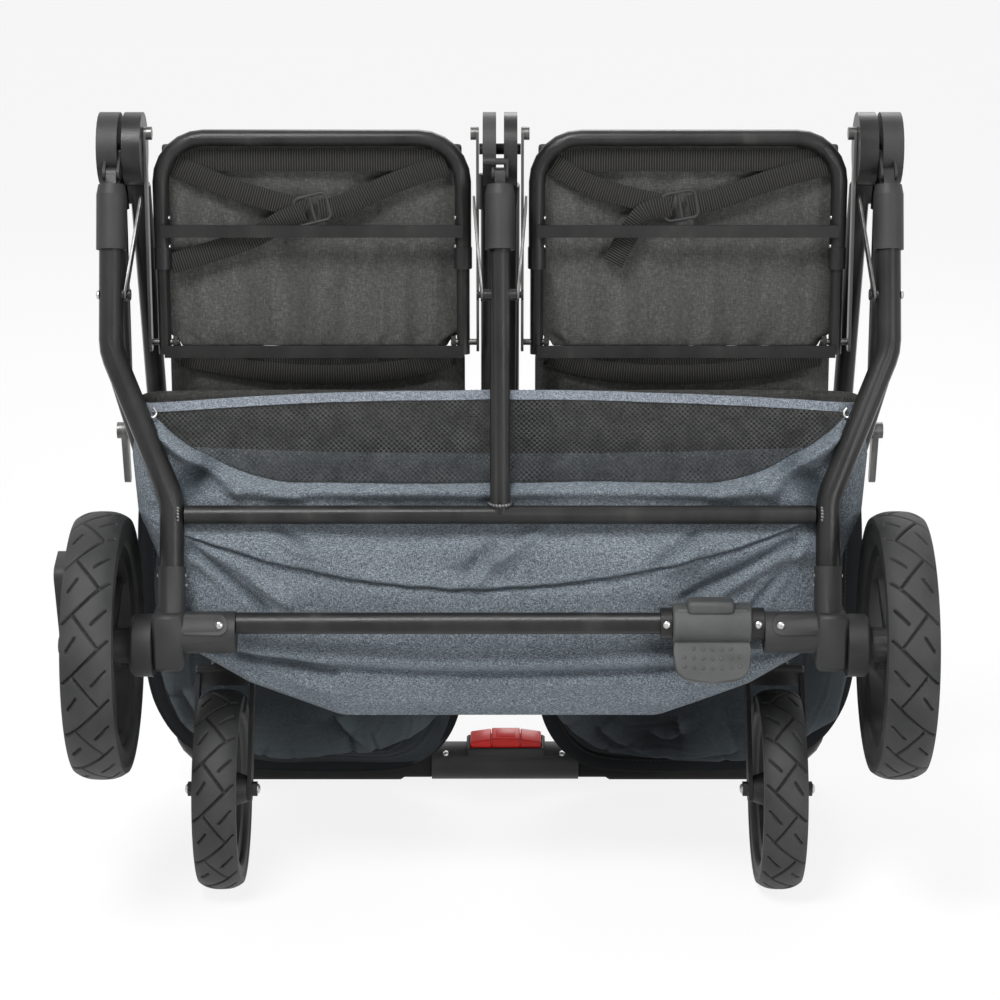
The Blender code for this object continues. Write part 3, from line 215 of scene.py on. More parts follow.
soft_lamp("key_lamp", (-0.9, -2.1, 3.2), 1.1, 128)
soft_lamp("fill_lamp", (1.9, -2.6, 0.8), 1.0, 34)
soft_lamp("back_lamp", (0.3, 2.4, 2.4), 1.5, 34)


def new_piece(name, mesh_data, material, body, slot, *replaced, sharp=35):
    """Finish a bmesh as a piece of the stroller that rides on a body."""
    mesh = bpy.data.meshes.new(name)
    mesh_data.to_mesh(mesh)
    mesh_data.free()
    mesh.materials.append(material)
    mesh.shade_smooth()
    if sharp:
        mesh.set_sharp_from_angle(angle=math.radians(sharp))
    made = bpy.data.objects.new(name, mesh)
    bpy.context.scene.collection.objects.link(made)
    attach(made, body)
    if replaced:
        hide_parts(*replaced)
    return made


# Steel tubes of the frame: drawn tube in satin black powder coat, a little orange peel
# in the coat and lighter scuffs where it has been handled.
frame_paint, tree = finish("frame_paint", 0.36, Specular_IOR_Level=0.26)
scuffs = cloud(tree, 38, 6, (1, 1, 0.35))
feed(tree,
     Base_Color=tones(tree, scuffs, (0.35, (0.010, 0.0102, 0.010)), (0.62, (0.019, 0.0192, 0.0188)),
                      (0.78, (0.042, 0.042, 0.040))),
     Roughness=0.24 + scuffs * 0.2,
     Normal=bump(tree, cloud(tree, 900, 2), 0.0002))

# Moulded black plastic of the hinges, sockets and forks: a fine spark texture with
# faint flow marks.
black_plastic, tree = finish("black_plastic", 0.5, Specular_IOR_Level=0.3)
marks = cloud(tree, 22, 4)
feed(tree,
     Base_Color=tones(tree, marks, (0.3, (0.019, 0.019, 0.0195)), (0.75, (0.036, 0.036, 0.0365))),
     Roughness=0.38 + marks * 0.2,
     Normal=bump(tree, cloud(tree, 1400, 1), 0.00025))

# Dark grey glass-filled plastic of the drums, pedal and footrest.
grey_plastic, tree = finish("grey_plastic", 0.5, Specular_IOR_Level=0.4)
marks = cloud(tree, 30, 5)
feed(tree,
     Base_Color=tones(tree, marks, (0.3, (0.038, 0.039, 0.039)), (0.75, (0.064, 0.066, 0.065))),
     Roughness=0.42 + marks * 0.2,
     Normal=bump(tree, cloud(tree, 1100, 2), 0.0003))

# Zinc-plated strip and wire, drawn lengthwise and slightly dulled.
plated_steel, tree = finish("plated_steel", 0.35, 0.9)
drawn = cloud(tree, 160, 4, (1, 1, 0.06))
feed(tree,
     Base_Color=tones(tree, drawn, (0.3, (0.075, 0.075, 0.075)), (0.75, (0.17, 0.17, 0.165))),
     Roughness=0.25 + drawn * 0.25,
     Normal=bump(tree, drawn, 0.0001))

# Bright screws and bolt ends.
bright_steel, tree = finish("bright_steel", 0.25, 1.0)
polish = cloud(tree, 300, 3)
feed(tree,
     Base_Color=tones(tree, polish, (0.3, (0.42, 0.42, 0.41)), (0.7, (0.62, 0.62, 0.6))),
     Roughness=0.2 + polish * 0.2)

# Foam of the grips: closed cells with a dry, slightly dusty skin.
grip_foam, tree = finish("grip_foam", 0.9, Specular_IOR_Level=0.2)
cells = add_node(tree, "ShaderNodeTexVoronoi", {}, {"Vector": place(tree), "Scale": 900})
dust = cloud(tree, 30, 4)
feed(tree,
     Base_Color=tones(tree, dust, (0.35, (0.014, 0.014, 0.015)), (0.8, (0.03, 0.03, 0.03))),
     Roughness=0.82 + dust * 0.15,
     Normal=bump(tree, cells, 0.0005))

# Red trigger plastic, glossy with fine handling marks.
red_plastic, tree = finish("red_plastic", 0.32, Coat_Weight=0.1, Specular_IOR_Level=0.35)
marks = cloud(tree, 60, 4)
feed(tree,
     Base_Color=tones(tree, marks, (0.3, (0.60, 0.008, 0.005)), (0.8, (0.80, 0.016, 0.010))),
     Roughness=0.26 + marks * 0.18)

node_finish = {"black_frame": frame_paint, "grey_steel": plated_steel,
               "black_plastic": black_plastic, "wheel_plastic": black_plastic,
               "grey_plastic": grey_plastic, "grip_foam": grip_foam, "red_plastic": red_plastic}


# Rigid parts that keep their CAD shape: each is a merged copy with its small edges
# broken, as a moulding or a stamping has them.
EDGE_RADIUS = 0.0005
OWN_SECTION = ("fold_trigger", "brake_pedal")
slots = {row["node"]: row["material_slot"] for row in frame["record"]["subparts"]}


def dressed_copy(node):
    """A clean copy of a CAD node with smooth shading and fine edge radii."""
    mesh_data = bmesh.new()
    mesh_data.from_mesh(nodes[node].data)
    bmesh.ops.remove_doubles(mesh_data, verts=mesh_data.verts, dist=0.00002)
    bmesh.ops.dissolve_limit(mesh_data, angle_limit=math.radians(1), verts=mesh_data.verts,
                             edges=mesh_data.edges)
    slot = slots[node]
    surface = black_plastic if node.startswith("brake_drum") else node_finish[slot]
    made = new_piece(node + "_body", mesh_data, surface, body_of[node], slot, node, sharp=0)
    made.data.set_sharp_from_angle(angle=math.radians(42))
    edge = made.modifiers.new("edge", "BEVEL")
    edge.width = EDGE_RADIUS
    edge.segments = 2
    edge.limit_method = "ANGLE"
    edge.angle_limit = math.radians(50)
    edge.harden_normals = True


for node, slot in slots.items():
    if slot in node_finish and node not in OWN_SECTION:
        dressed_copy(node)


# Tyres: foam rings with a crown, shoulder lines and moulded grooves that zigzag round
# the tread.  The grooves are pressed into a fine ring of faces spun about the axle.
tyre_foam, tree = finish("tyre_foam", 0.85, Specular_IOR_Level=0.35)
dust = cloud(tree, 26, 5)
feed(tree,
     Base_Color=tones(tree, dust, (0.3, (0.014, 0.0145, 0.0145)), (0.75, (0.038, 0.0385, 0.038))),
     Roughness=0.44 + dust * 0.24,
     Normal=bump(tree, cloud(tree, 1500, 2), 0.00035))


def smooth_step(low, high, value):
    """0 below low, 1 above high, eased between."""
    share = min(1.0, max(0.0, (value - low) / (high - low)))
    return share * share * (3 - 2 * share)


def line_distance(spot, start, end):
    """How far a point in the plane lies from a line between two points."""
    run = (end[0] - start[0], end[1] - start[1])
    away = (spot[0] - start[0], spot[1] - start[1])
    share = (run[0] * away[0] + run[1] * away[1]) / (run[0] ** 2 + run[1] ** 2)
    share = min(1.0, max(0.0, share))
    return math.hypot(away[0] - share * run[0], away[1] - share * run[1])


# One repeat of the tread: long strokes, the strokes that join them and two dashes, each
# as (repeats along, share of the half width across) for its two ends.
TREAD = [((0, -0.9), (0.717, 0.85)), ((0.58, 0.52), (1.156, -0.52)),
         ((-0.017, 0.24), (0.217, 0.76)), ((0.55, -0.72), (0.77, -0.38))]
GROOVE_DEPTH = 0.0026
CROWN_DROP = 0.006


def tyre(node, side, centre, outer, width, rim, repeats):
    """A tyre ring about X at a centre, with its moulded grooves pressed in."""
    half = width / 2
    pitch = math.tau * outer / repeats
    ring = bmesh.new()
    rows = 44
    crown = [(half * share, outer - CROWN_DROP * abs(share) ** 2.8)
             for share in (-1 + 2 * row / rows for row in range(rows + 1))]
    wall = [(half, outer - 0.010), (half, outer - 0.0115), (half - 0.0009, outer - 0.0125),
            (half - 0.0006, rim + 0.008), (half - 0.0016, rim + 0.003),
            (half - 0.004, rim + 0.0006)]
    outline = [(-x, r) for x, r in reversed(wall)] + crown + wall + [(0, rim + 0.0004)]
    verts = [ring.verts.new((x, 0, r)) for x, r in outline]
    edges = [ring.edges.new(pair) for pair in zip(verts, verts[1:] + verts[:1])]
    bmesh.ops.spin(ring, geom=verts + edges, cent=(0, 0, 0), axis=(1, 0, 0),
                   angle=math.tau, steps=52 * repeats, use_merge=True)
    bmesh.ops.remove_doubles(ring, verts=ring.verts, dist=0.00001)
    strokes = [[((along + shift) * pitch, across * half) for along, across in stroke]
               for stroke in TREAD for shift in (-1, 0, 1)]
    for vert in ring.verts:
        reach = math.hypot(vert.co.y, vert.co.z)
        if reach > outer - 0.0068:
            turned = math.atan2(vert.co.z, -vert.co.y) / math.tau * repeats
            spot = (turned % 1.0 * pitch, -side * vert.co.x)
            near = min(line_distance(spot, start, end) for start, end in strokes)
            pressed = GROOVE_DEPTH * (1 - smooth_step(0.0005, 0.0014, near))
            vert.co.yz = vert.co.yz * (1 - pressed / reach)
    bmesh.ops.recalc_face_normals(ring, faces=ring.faces)
    bmesh.ops.translate(ring, verts=ring.verts, vec=centre)
    new_piece(node + "_tread", ring, tyre_foam, body_of[node], "tyre", node, sharp=50)


for name, side in (("left", -1), ("right", 1)):
    tyre("rear_tyre_" + name, side, (side * 0.352, -0.141, 0.261), 0.119, 0.044, 0.0887, 14)
    tyre("front_tyre_" + name, side, (side * 0.259, -0.04931, 0.093), 0.093, 0.040, 0.0687, 12)


# Storage basket: a denim pouch on the rear frame.  The cloth is one skin of many rows,
# bulged between the tubes that cross it and creased where the fold lines run; the upper
# rear panel is knitted mesh between a rolled denim edge and a bound hem.
def denim_cloth(name, dark, middle, light, weave=1900):
    """Heathered weave: light and dark threads both ways, with a slow wash of tone, and painted shade
    where the crease attribute marks creases and hollows.
    """
    material, tree = finish(name, 0.9, Specular_IOR_Level=0.2)
    warp = cloud(tree, weave, 2, (1, 1, 0.22))
    weft = cloud(tree, weave, 2, (0.22, 0.5, 1))
    wash = cloud(tree, 7, 3)
    # Painted shade: the crease attribute darkens the cloth in its creases and hollows.
    crease = add_node(tree, "ShaderNodeAttribute", {"attribute_name": "crease"}, out="Fac")
    threads = warp * 0.46 + weft * 0.46 + wash * 0.08 - crease * 0.16
    feed(tree,
         Base_Color=tones(tree, threads, (0.38, dark), (0.5, middle), (0.61, light)),
         Roughness=0.8 + wash * 0.2,
         Normal=bump(tree, threads, 0.0005))
    return material


denim = denim_cloth("denim", (0.040, 0.050, 0.059), (0.110, 0.130, 0.149), (0.265, 0.294, 0.323))
hem_denim = denim_cloth("hem_denim", (0.07, 0.08, 0.10), (0.17, 0.19, 0.22), (0.30, 0.33, 0.37))
dark_lining, tree = finish("dark_lining", 0.92, Specular_IOR_Level=0.15)
threads = cloud(tree, 700, 3, (1, 1, 0.2)) * 0.5 + cloud(tree, 700, 3, (0.2, 1, 1)) * 0.5
feed(tree,
     Base_Color=tones(tree, threads, (0.35, (0.022, 0.022, 0.021)), (0.65, (0.060, 0.060, 0.057))),
     Roughness=0.86 + cloud(tree, 20, 2) * 0.12,
     Normal=bump(tree, threads, 0.0003))

knit_mesh, tree = finish("knit_mesh", 0.8, Specular_IOR_Level=0.2)
cells = add_node(tree, "ShaderNodeTexVoronoi", {"voronoi_dimensions": "2D"}, {
    "Vector": add_node(tree, "ShaderNodeMapping", {}, {
        "Vector": add_node(tree, "ShaderNodeTexCoord", out="Object"),
        "Rotation": (math.radians(-90), 0, math.radians(45)), "Scale": (300, 300, 330)}),
    "Scale": 1.0, "Randomness": 0.0})
strands = cells > 0.415
feed(tree,
     Base_Color=tones(tree, cloud(tree, 60, 3), (0.3, (0.022, 0.023, 0.023)),
                      (0.7, (0.055, 0.057, 0.056))),
     Alpha=strands,
     Normal=bump(tree, cells, 0.0006))

# Heights of the pouch's floor and hem, and its half width, rear face and front face at
# each level between them.
POUCH_FLOOR = 0.181
HEM_HEIGHT = 0.466
BASKET_LEVELS = ((POUCH_FLOOR, 0.155, -0.096, -0.060), (0.215, 0.230, -0.113, -0.035),
                 (0.250, 0.285, -0.118, -0.020), (0.310, 0.300, -0.108, -0.020),
                 (0.370, 0.325, -0.1003, -0.020), (0.420, 0.330, -0.0911, -0.020),
                 (HEM_HEIGHT, 0.325, -0.0786, -0.020))
POUCH_CORNER = 0.02
CROSS_BAR_HEIGHT = 0.374


def basket_level(z):
    """Half width, rear face and front face of the pouch at a height."""
    for low, high in zip(BASKET_LEVELS, BASKET_LEVELS[1:]):
        if z <= high[0] or high is BASKET_LEVELS[-1]:
            share = min(1.0, (z - low[0]) / (high[0] - low[0]))
            return [a + (b - a) * share for a, b in zip(low[1:], high[1:])]


def panel_edge(share):
    """Height of the knitted panel's lower edge, which climbs to the hem at both sides."""
    return 0.399 + 0.066 * max(0.0, (abs(share) - 0.56) / 0.42) ** 1.7


def fold_line(x, z):
    """Height above the long crease that sags across the pouch."""
    wiggle = 0.0012 * noise.noise((x * 55, 3, 0)) + 0.0018 * noise.noise((x * 14, 9, 0))
    return z - (0.305 + 0.057 * (abs(x + 0.02) / 0.285) ** 1.9 + wiggle)


def axle_line(x, z):
    """Height above the line along which the cloth hangs over the axle tube."""
    return z - (0.231 + 0.02 * (abs(x) / 0.24) ** 2)


def hump(distance, width):
    """1 at a line, falling off to both sides of it."""
    return math.exp(-(distance / width) ** 2)


# Single folds of the pouch, in millimetres: both ends across and up, how far each stands
# out and its width.  All stand out FOLD_GAIN times as far, because the cloth is full.
FOLD_GAIN = 1.35
POUCH_FOLDS = ((-200, 362, -175, 346, -4, 3.5), (-196, 351, -170, 338, 3, 5),
               (-22, 312, 0, 335, 4.5, 6), (0, 335, 34, 357, 4.5, 6),
               (-32, 322, -8, 345, -3.5, 5), (140, 330, 172, 356, -3.5, 4.5),
               (150, 323, 187, 350, 3.5, 5.5), (262, 350, 165, 296, -4.5, 4.5),
               (255, 334, 180, 290, 4.5, 6.5), (268, 338, 236, 286, 4, 4),
               (262, 328, 224, 284, -3.5, 4), (-277, 344, -212, 286, -5, 5),
               (-270, 330, -228, 288, 5, 5), (-258, 340, -190, 292, 4, 6),
               (-235, 243, -150, 228.5, -3.2, 4), (-225, 249, -150, 237, 3.5, 5),
               (-215, 235, -150, 205, 3, 8), (-300, 440, -235, 392, 5, 7),
               (-235, 392, -180, 384, 4, 6), (300, 440, 240, 392, 5, 7),
               (240, 392, 190, 385, 4, 6), (-262, 412, -290, 386, -9, 13),
               (262, 412, 290, 386, -8, 13))


def single_folds(x, z):
    """What the single folds add at a place."""
    added = 0.0
    for x_one, z_one, x_two, z_two, height, width in POUCH_FOLDS:
        away = line_distance((x * 1000, z * 1000), (x_one, z_one), (x_two, z_two))
        added += FOLD_GAIN * height * hump(away, width)
    return added / 1000


def rear_bulge(x, z, share):
    """How far the rear cloth stands out at a point, in metres."""
    above = fold_line(x, z)
    if above > 0:
        crease = 0.0075 * math.exp(-above / 0.017) * (1 - math.exp(-above / 0.0014))
    else:
        crease = 0.006 * (1 - math.exp(above / 0.007)) * math.exp(above / 0.045) - 0.0008
    roll = 0.0085 * hump(z - panel_edge(share) + 0.0085, 0.0075)
    over_axle = axle_line(x, z)
    sag = 0.0085 * hump(over_axle - 0.006, 0.008) - 0.0035 * hump(over_axle + 0.006, 0.004)
    waves = (0.0062 * noise.noise((x * 6.5, z * 22, 1.7)) + 0.0026 * noise.noise((x * 17, z * 40, 5.1))
             + 0.0009 * noise.noise((x * 60, z * 85, 2.2)))
    belly = 0.010 * hump(z - 0.340, 0.021)
    total = 0.0015 + crease + roll + sag + single_folds(x, z) + waves + belly
    bar = hump(z - CROSS_BAR_HEIGHT, 0.0105)
    total = total * (1 - bar) + min(total, 0.0008) * bar
    socket = smooth_step(0.215, 0.235, abs(x)) * hump(z - 0.280, 0.045)
    total = total * (1 - socket) + min(total, 0.0005) * socket
    return total * smooth_step(POUCH_FLOOR, 0.195, z) * (1 - smooth_step(0.90, 1.0, abs(share)))


def basket_point(side, share, z):
    """A point of the pouch: rear or front wall, or the rounded end between them."""
    half, rear, front = basket_level(z)
    x = share * half
    end = max(0.0, (abs(x) - (half - POUCH_CORNER)) / POUCH_CORNER)
    inset = POUCH_CORNER * (1 - math.sqrt(max(0.0, 1 - end * end)))
    if side == "rear":
        y = rear + inset - rear_bulge(x, z, share)
    else:
        y = front - inset + 0.002 * noise.noise((x * 15, z * 20, 7)) * (1 - end)
    rise = 0.013 * smooth_step(0.426, HEM_HEIGHT, z) * (1 - share * share)
    return Vector((x, y, z + rise))


def skin(rows):
    """Faces over a grid of points given as rows."""
    grid = bmesh.new()
    verts = [[grid.verts.new(point) for point in row] for row in rows]
    for lower, upper in zip(verts, verts[1:]):
        for corners in zip(lower, lower[1:], upper[1:], upper):
            grid.faces.new(corners)
    return grid


def basket_cloth(name, grid, material, thickness, *replaced):
    """A cloth skin of the basket with real thickness."""
    made = new_piece(name, grid, material, "rear_frame", "denim", *replaced, sharp=0)
    solid = made.modifiers.new("cloth", "SOLIDIFY")
    solid.thickness = thickness
    solid.offset = -1.0
    return made


def wall_rows(side, low, high, count):
    """Rows of points up one wall, between two heights that may change across it.  The places
    across lie closer together round the ends."""
    places = [math.sin(math.radians(-90 + 180 * step / 170)) for step in range(171)]
    return [[basket_point(side, share, low(share) + (high(share) - low(share)) * row / count)
             for share in places] for row in range(count + 1)]


def floor_height(share):
    """Height at which both walls start."""
    return POUCH_FLOOR


rear_rows = wall_rows("rear", floor_height, panel_edge, 160)
front_rows = wall_rows("front", floor_height,
                       lambda share: HEM_HEIGHT - 0.010 * (1 - share * share), 40)
pouch = skin(front_rows[::-1] + rear_rows)
bmesh.ops.recalc_face_normals(pouch, faces=pouch.faces)
pouch_body = basket_cloth("basket_pouch", pouch, denim, 0.0012, "basket")
pouch_body.data.materials.append(dark_lining)
# The crease attribute is painted shade: darkest along the long crease, in the hollow where the cloth
# hangs over the axle tube and in the inward single folds.
crease = pouch_body.data.attributes.new("crease", "FLOAT", "POINT")
for vert in pouch_body.data.vertices:
    x, y, z = vert.co
    if y < -0.075 and abs(x) < 0.30:
        line = hump(fold_line(x, z) + 0.0004, 0.0013) * (1 - smooth_step(0.262, 0.285, abs(x)))
        hollow = 0.45 * hump(axle_line(x, z) + 0.006, 0.004) - 75 * min(0.0, single_folds(x, z))
        crease.data[vert.index].value = min(1.0, line + hollow)
for face in pouch_body.data.polygons:
    x, y, z = face.center
    if z + 0.0082 * (1 - (x / 0.33) ** 2) > 0.4147 and y > -0.045:
        face.material_index = 1

panel = skin(wall_rows("rear", panel_edge, lambda share: HEM_HEIGHT + 0.0005, 24))
bmesh.ops.translate(panel, verts=panel.verts, vec=(0, 0.0015, 0))
knitted = basket_cloth("basket_mesh_panel", panel, knit_mesh, 0.0006)


def sweep(mesh_data, centres, ring_at, closed=False):
    """A tube or band along points, from the ring of points that ring_at lays round each
    centre, across the way the run goes there; its ends are closed unless it runs round."""
    rings = []
    last = len(centres) - 1
    for number, centre in enumerate(centres):
        before = centres[number - 1 if closed else max(0, number - 1)]
        after = centres[(number + 1) % len(centres) if closed else min(last, number + 1)]
        along = (after - before).normalized()
        rings.append([mesh_data.verts.new(point) for point in ring_at(centre, along)])
    for lower, upper in zip(rings, rings[1:] + rings[:closed]):
        for corners in zip(lower, lower[1:] + lower[:1], upper[1:] + upper[:1], upper):
            mesh_data.faces.new(corners)
    if not closed:
        mesh_data.faces.new(rings[0][::-1])
        mesh_data.faces.new(rings[-1])
    bmesh.ops.recalc_face_normals(mesh_data, faces=mesh_data.faces)


RIBBON_SECTION = ((-0.5, -0.3), (-0.47, -0.5), (0.47, -0.5), (0.5, -0.3),
                  (0.5, 0.3), (0.47, 0.5), (-0.47, 0.5), (-0.5, 0.3))


def ribbon(name, centres, width, thickness, material, body, slot, lean=(0, 0, 1)):
    """A flat band along points: its width lies along lean, its edges are rounded."""
    def ring_at(centre, along):
        face = along.cross(Vector(lean)).normalized()
        wide = face.cross(along).normalized()
        return [centre + wide * width * u + face * thickness * v for u, v in RIBBON_SECTION]

    band = bmesh.new()
    sweep(band, centres, ring_at)
    return new_piece(name, band, material, body, slot, sharp=40)


hem_line = wall_rows("rear", lambda share: HEM_HEIGHT, lambda share: HEM_HEIGHT, 1)[0][4:-4]
hem = ribbon("basket_hem", [point + Vector((0, -0.0012, -0.0035)) for point in hem_line],
             0.0085, 0.0022, hem_denim, "rear_frame", "denim")


def eased(points, steps):
    """A smooth run of points through a few."""
    route = [points[0]] + list(points) + [points[-1]]
    made = []
    for a, b, c, d in zip(route, route[1:], route[2:], route[3:]):
        for step in range(steps):
            f = step / steps
            made.append(tuple(0.5 * (2 * q + (r - p) * f + (2 * p - 5 * q + 4 * r - t) * f * f
                                     + (3 * q - p - 3 * r + t) * f ** 3)
                              for p, q, r, t in zip(a, b, c, d)))
    made.append(tuple(points[-1]))
    return made


def run_length(centres):
    """Length along a run of points."""
    return sum((after - before).length for before, after in zip(centres, centres[1:]))


def strap(name, points, width, body):
    """A webbing strap eased through points, with its length.  Its vertices know how far
    along it they lie."""
    centres = [Vector(point) for point in eased(points, 14)]
    made = ribbon(name, centres, width, 0.0016, webbing, body, "seat_cloth")
    run = made.data.attributes.new("run", "FLOAT", "POINT")
    for number in range(len(centres)):
        so_far = run_length(centres[:number + 1])
        for corner in range(len(RIBBON_SECTION)):
            run.data[number * len(RIBBON_SECTION) + corner].value = so_far
    return made, run_length(centres)


# Webbing: black polyester, woven in ribs across the strap.
webbing, tree = finish("webbing", 0.82, Specular_IOR_Level=0.2)
run = add_node(tree, "ShaderNodeAttribute", {"attribute_name": "run"}, {}, 2)
phase = run * (math.tau / 0.0023)
ribs = phase.calc("SINE", phase)
fuzz = cloud(tree, 1300, 2)
height = ribs * 0.5 + fuzz * 0.5
feed(tree,
     Base_Color=tones(tree, height, (0.1, (0.012, 0.012, 0.011)), (0.8, (0.050, 0.049, 0.045))),
     Normal=bump(tree, height, 0.0007))

# Seat lining: dark woven cloth, gathered along its lower seam.
lining_cloth, tree = finish("lining_cloth", 0.93, Specular_IOR_Level=0.15)
threads = cloud(tree, 900, 2, (1, 1, 0.25)) * 0.5 + cloud(tree, 900, 2, (0.25, 1, 1)) * 0.5
streaks = cloud(tree, 60, 3, (1, 1, 0.08))
feed(tree,
     Base_Color=tones(tree, threads * 0.75 + streaks * 0.25, (0.36, (0.040, 0.041, 0.039)),
                      (0.52, (0.066, 0.067, 0.064)), (0.66, (0.108, 0.108, 0.104))),
     Roughness=0.86 + streaks * 0.14,
     Normal=bump(tree, threads * 0.15 + streaks * 0.85, 0.0026))


CLOTH_FRAMES = 14


def stuffed(name, node, low, high, channels, shape_rear, foot=0.0):
    """A quilted pad: a closed skin blown up by a cloth simulation between its stitched lines,
    with its rear skin shaped afterwards by shape_rear and its foot drawn in by a share."""
    pad = bmesh.new()
    bmesh.ops.create_grid(pad, x_segments=52, y_segments=38, size=0.5)
    bmesh.ops.solidify(pad, geom=pad.faces[:], thickness=0.004)
    size = Vector(high) - Vector(low)
    middle = (Vector(high) + Vector(low)) / 2
    for vert in pad.verts:
        flat = Vector(vert.co)
        seam = min(abs(flat.y + 0.5 - line) for line in channels)
        swell = smooth_step(0, 0.10, 0.5 - max(abs(flat.x), abs(flat.y)))
        half = 0.0015 + (size.y / 2 - 0.0035) * swell * (1 - 0.35 * hump(seam, 0.03))
        vert.co = (middle.x + flat.x * size.x, middle.y + (half if abs(flat.z) < 0.002 else -half),
                   middle.z + flat.y * size.z)
    bmesh.ops.recalc_face_normals(pad, faces=pad.faces)
    made = new_piece(name, pad, lining_cloth, node, "seat_cloth", node, sharp=0)
    stitched = made.vertex_groups.new(name="stitched")
    for vert in made.data.vertices:
        up = (vert.co.z - low[2]) / size.z
        side = (vert.co.x - low[0]) / size.x
        edge = min(up, 1 - up, side, 1 - side)
        seam = min(abs(up - line) for line in channels)
        if edge < 0.012 or seam < 0.014:
            stitched.add([vert.index], 1.0, "REPLACE")
    cloth = made.modifiers.new("filling", "CLOTH")
    cloth.settings.vertex_group_mass = "stitched"
    cloth.settings.use_pressure = True
    cloth.settings.uniform_pressure_force = 4.0
    cloth.settings.effector_weights.gravity = 0.0
    cloth.settings.quality = 4
    cloth.settings.tension_stiffness = 25
    cloth.point_cache.frame_start = 1
    cloth.point_cache.frame_end = CLOTH_FRAMES
    for frame_number in range(1, CLOTH_FRAMES + 1):
        bpy.context.scene.frame_set(frame_number)
    state = bpy.context.evaluated_depsgraph_get()
    settled = bpy.data.meshes.new_from_object(made.evaluated_get(state))
    made.modifiers.clear()
    made.data = settled
    bpy.context.scene.frame_set(1)
    half = size.y / 2
    for vert in made.data.vertices:
        puff = vert.co.y - middle.y
        vert.co.y = middle.y + max(-half, min(half, puff))
        if puff > 0.002:
            vert.co.y += 0.0014 * (noise.noise((vert.co.x * 16, vert.co.z * 20, 4.5)) - 0.5)
        if puff < 0:
            vert.co.y = shape_rear(vert.co.x, vert.co.z, vert.co.y)
        up = (vert.co.z - low[2]) / size.z
        vert.co.x = middle.x + (vert.co.x - middle.x) * (1 - foot * (1 - smooth_step(0.035, 0.065, up)))
    smooth = made.modifiers.new("smooth", "SUBSURF")
    smooth.levels = smooth.render_levels = 1


LINING_REAR, LINING_FOOT, LINING_TOP = 0.0088, 0.501, 0.6875


def gathered_rear(x, z, y):
    """The lining's rear skin: flat to the tubes, with gathers that rise from the lower seam."""
    up = (z - LINING_FOOT) / (LINING_TOP - LINING_FOOT)
    drift = 0.9 * noise.noise((z * 9, 4 + x * 5, 0))
    gather = abs(noise.noise((x * 52 + drift, z * 2.6, 0.4))) * 0.0125 * (1 - 0.75 * up)
    gather += abs(noise.noise((x * 130 + drift, z * 8, 3.3))) * 0.0042 * math.exp(-up / 0.16)
    sag = 0.0016 * (1 + noise.noise((x * 7, z * 11, 8.0)))
    return LINING_REAR + gather + sag


def plain_rear(x, z, y):
    """Leave the rear skin as it settled, with small slack waves."""
    return y + 0.0012 * noise.noise((x * 18, z * 14, 2.0))


for name, side in (("left", -1), ("right", 1)):
    inner, outer = sorted((side * 0.0345, side * 0.3065))
    stuffed("seat_back_lining_" + name, "seat_back_" + name, (inner, LINING_REAR, LINING_FOOT),
            (outer, 0.0232, LINING_TOP), (0.25, 0.5, 0.75), gathered_rear, foot=0.095)
    inner, outer = sorted((side * 0.0325, side * 0.3075))
    stuffed("seat_base_pad_" + name, "seat_base_" + name, (inner, 0.031, 0.276),
            (outer, 0.061, 0.489), (0.33, 0.66), plain_rear)


# Harness webbing over the rear of each seat back, with its ladder buckle and loose end.
def buckle(name, centre, tilt, body):
    """A flat ladder buckle: a rounded frame with one bar across, all of round wire."""
    def ring_at(point, along):
        out = Vector((0, 1, 0)).cross(along) * 0.0017
        return [point + out * math.cos(math.radians(45 * k))
                + Vector((0, 0.0013 * math.sin(math.radians(45 * k)), 0)) for k in range(8)]

    half_width, half_height, corner = 0.015, 0.0125, 0.005
    outline = []
    for sx, sz, start in ((1, 1, 0), (-1, 1, 90), (-1, -1, 180), (1, -1, 270)):
        for step in range(7):
            angle = math.radians(start + 15 * step)
            outline.append(Vector((sx * (half_width - corner) + corner * math.cos(angle), 0,
                                   sz * (half_height - corner) + corner * math.sin(angle))))
    bar_end = Vector((0, 0, half_height - 0.0012))
    wire = bmesh.new()
    sweep(wire, outline, ring_at, closed=True)
    sweep(wire, [-bar_end, bar_end], ring_at)
    bmesh.ops.rotate(wire, verts=wire.verts, cent=(0, 0, 0), matrix=Matrix.Rotation(tilt, 3, "Y"))
    bmesh.ops.translate(wire, verts=wire.verts, vec=centre)
    new_piece(name, wire, black_plastic, body, "black_plastic")


def harness(side_name, top, down, up, tail, buckle_at, tilt):
    """One seat's upper straps: across the top, down to the buckle, up again, and the loose end."""
    body = "seat_back_" + side_name
    for part, points, width in (("top", top, 0.0195), ("down", down, 0.0190),
                                ("up", up, 0.0190), ("tail", tail, 0.0190)):
        piece, length = strap(f"webbing_{part}_{side_name}", points, width, body)
    buckle("buckle_" + side_name, buckle_at, tilt, body)


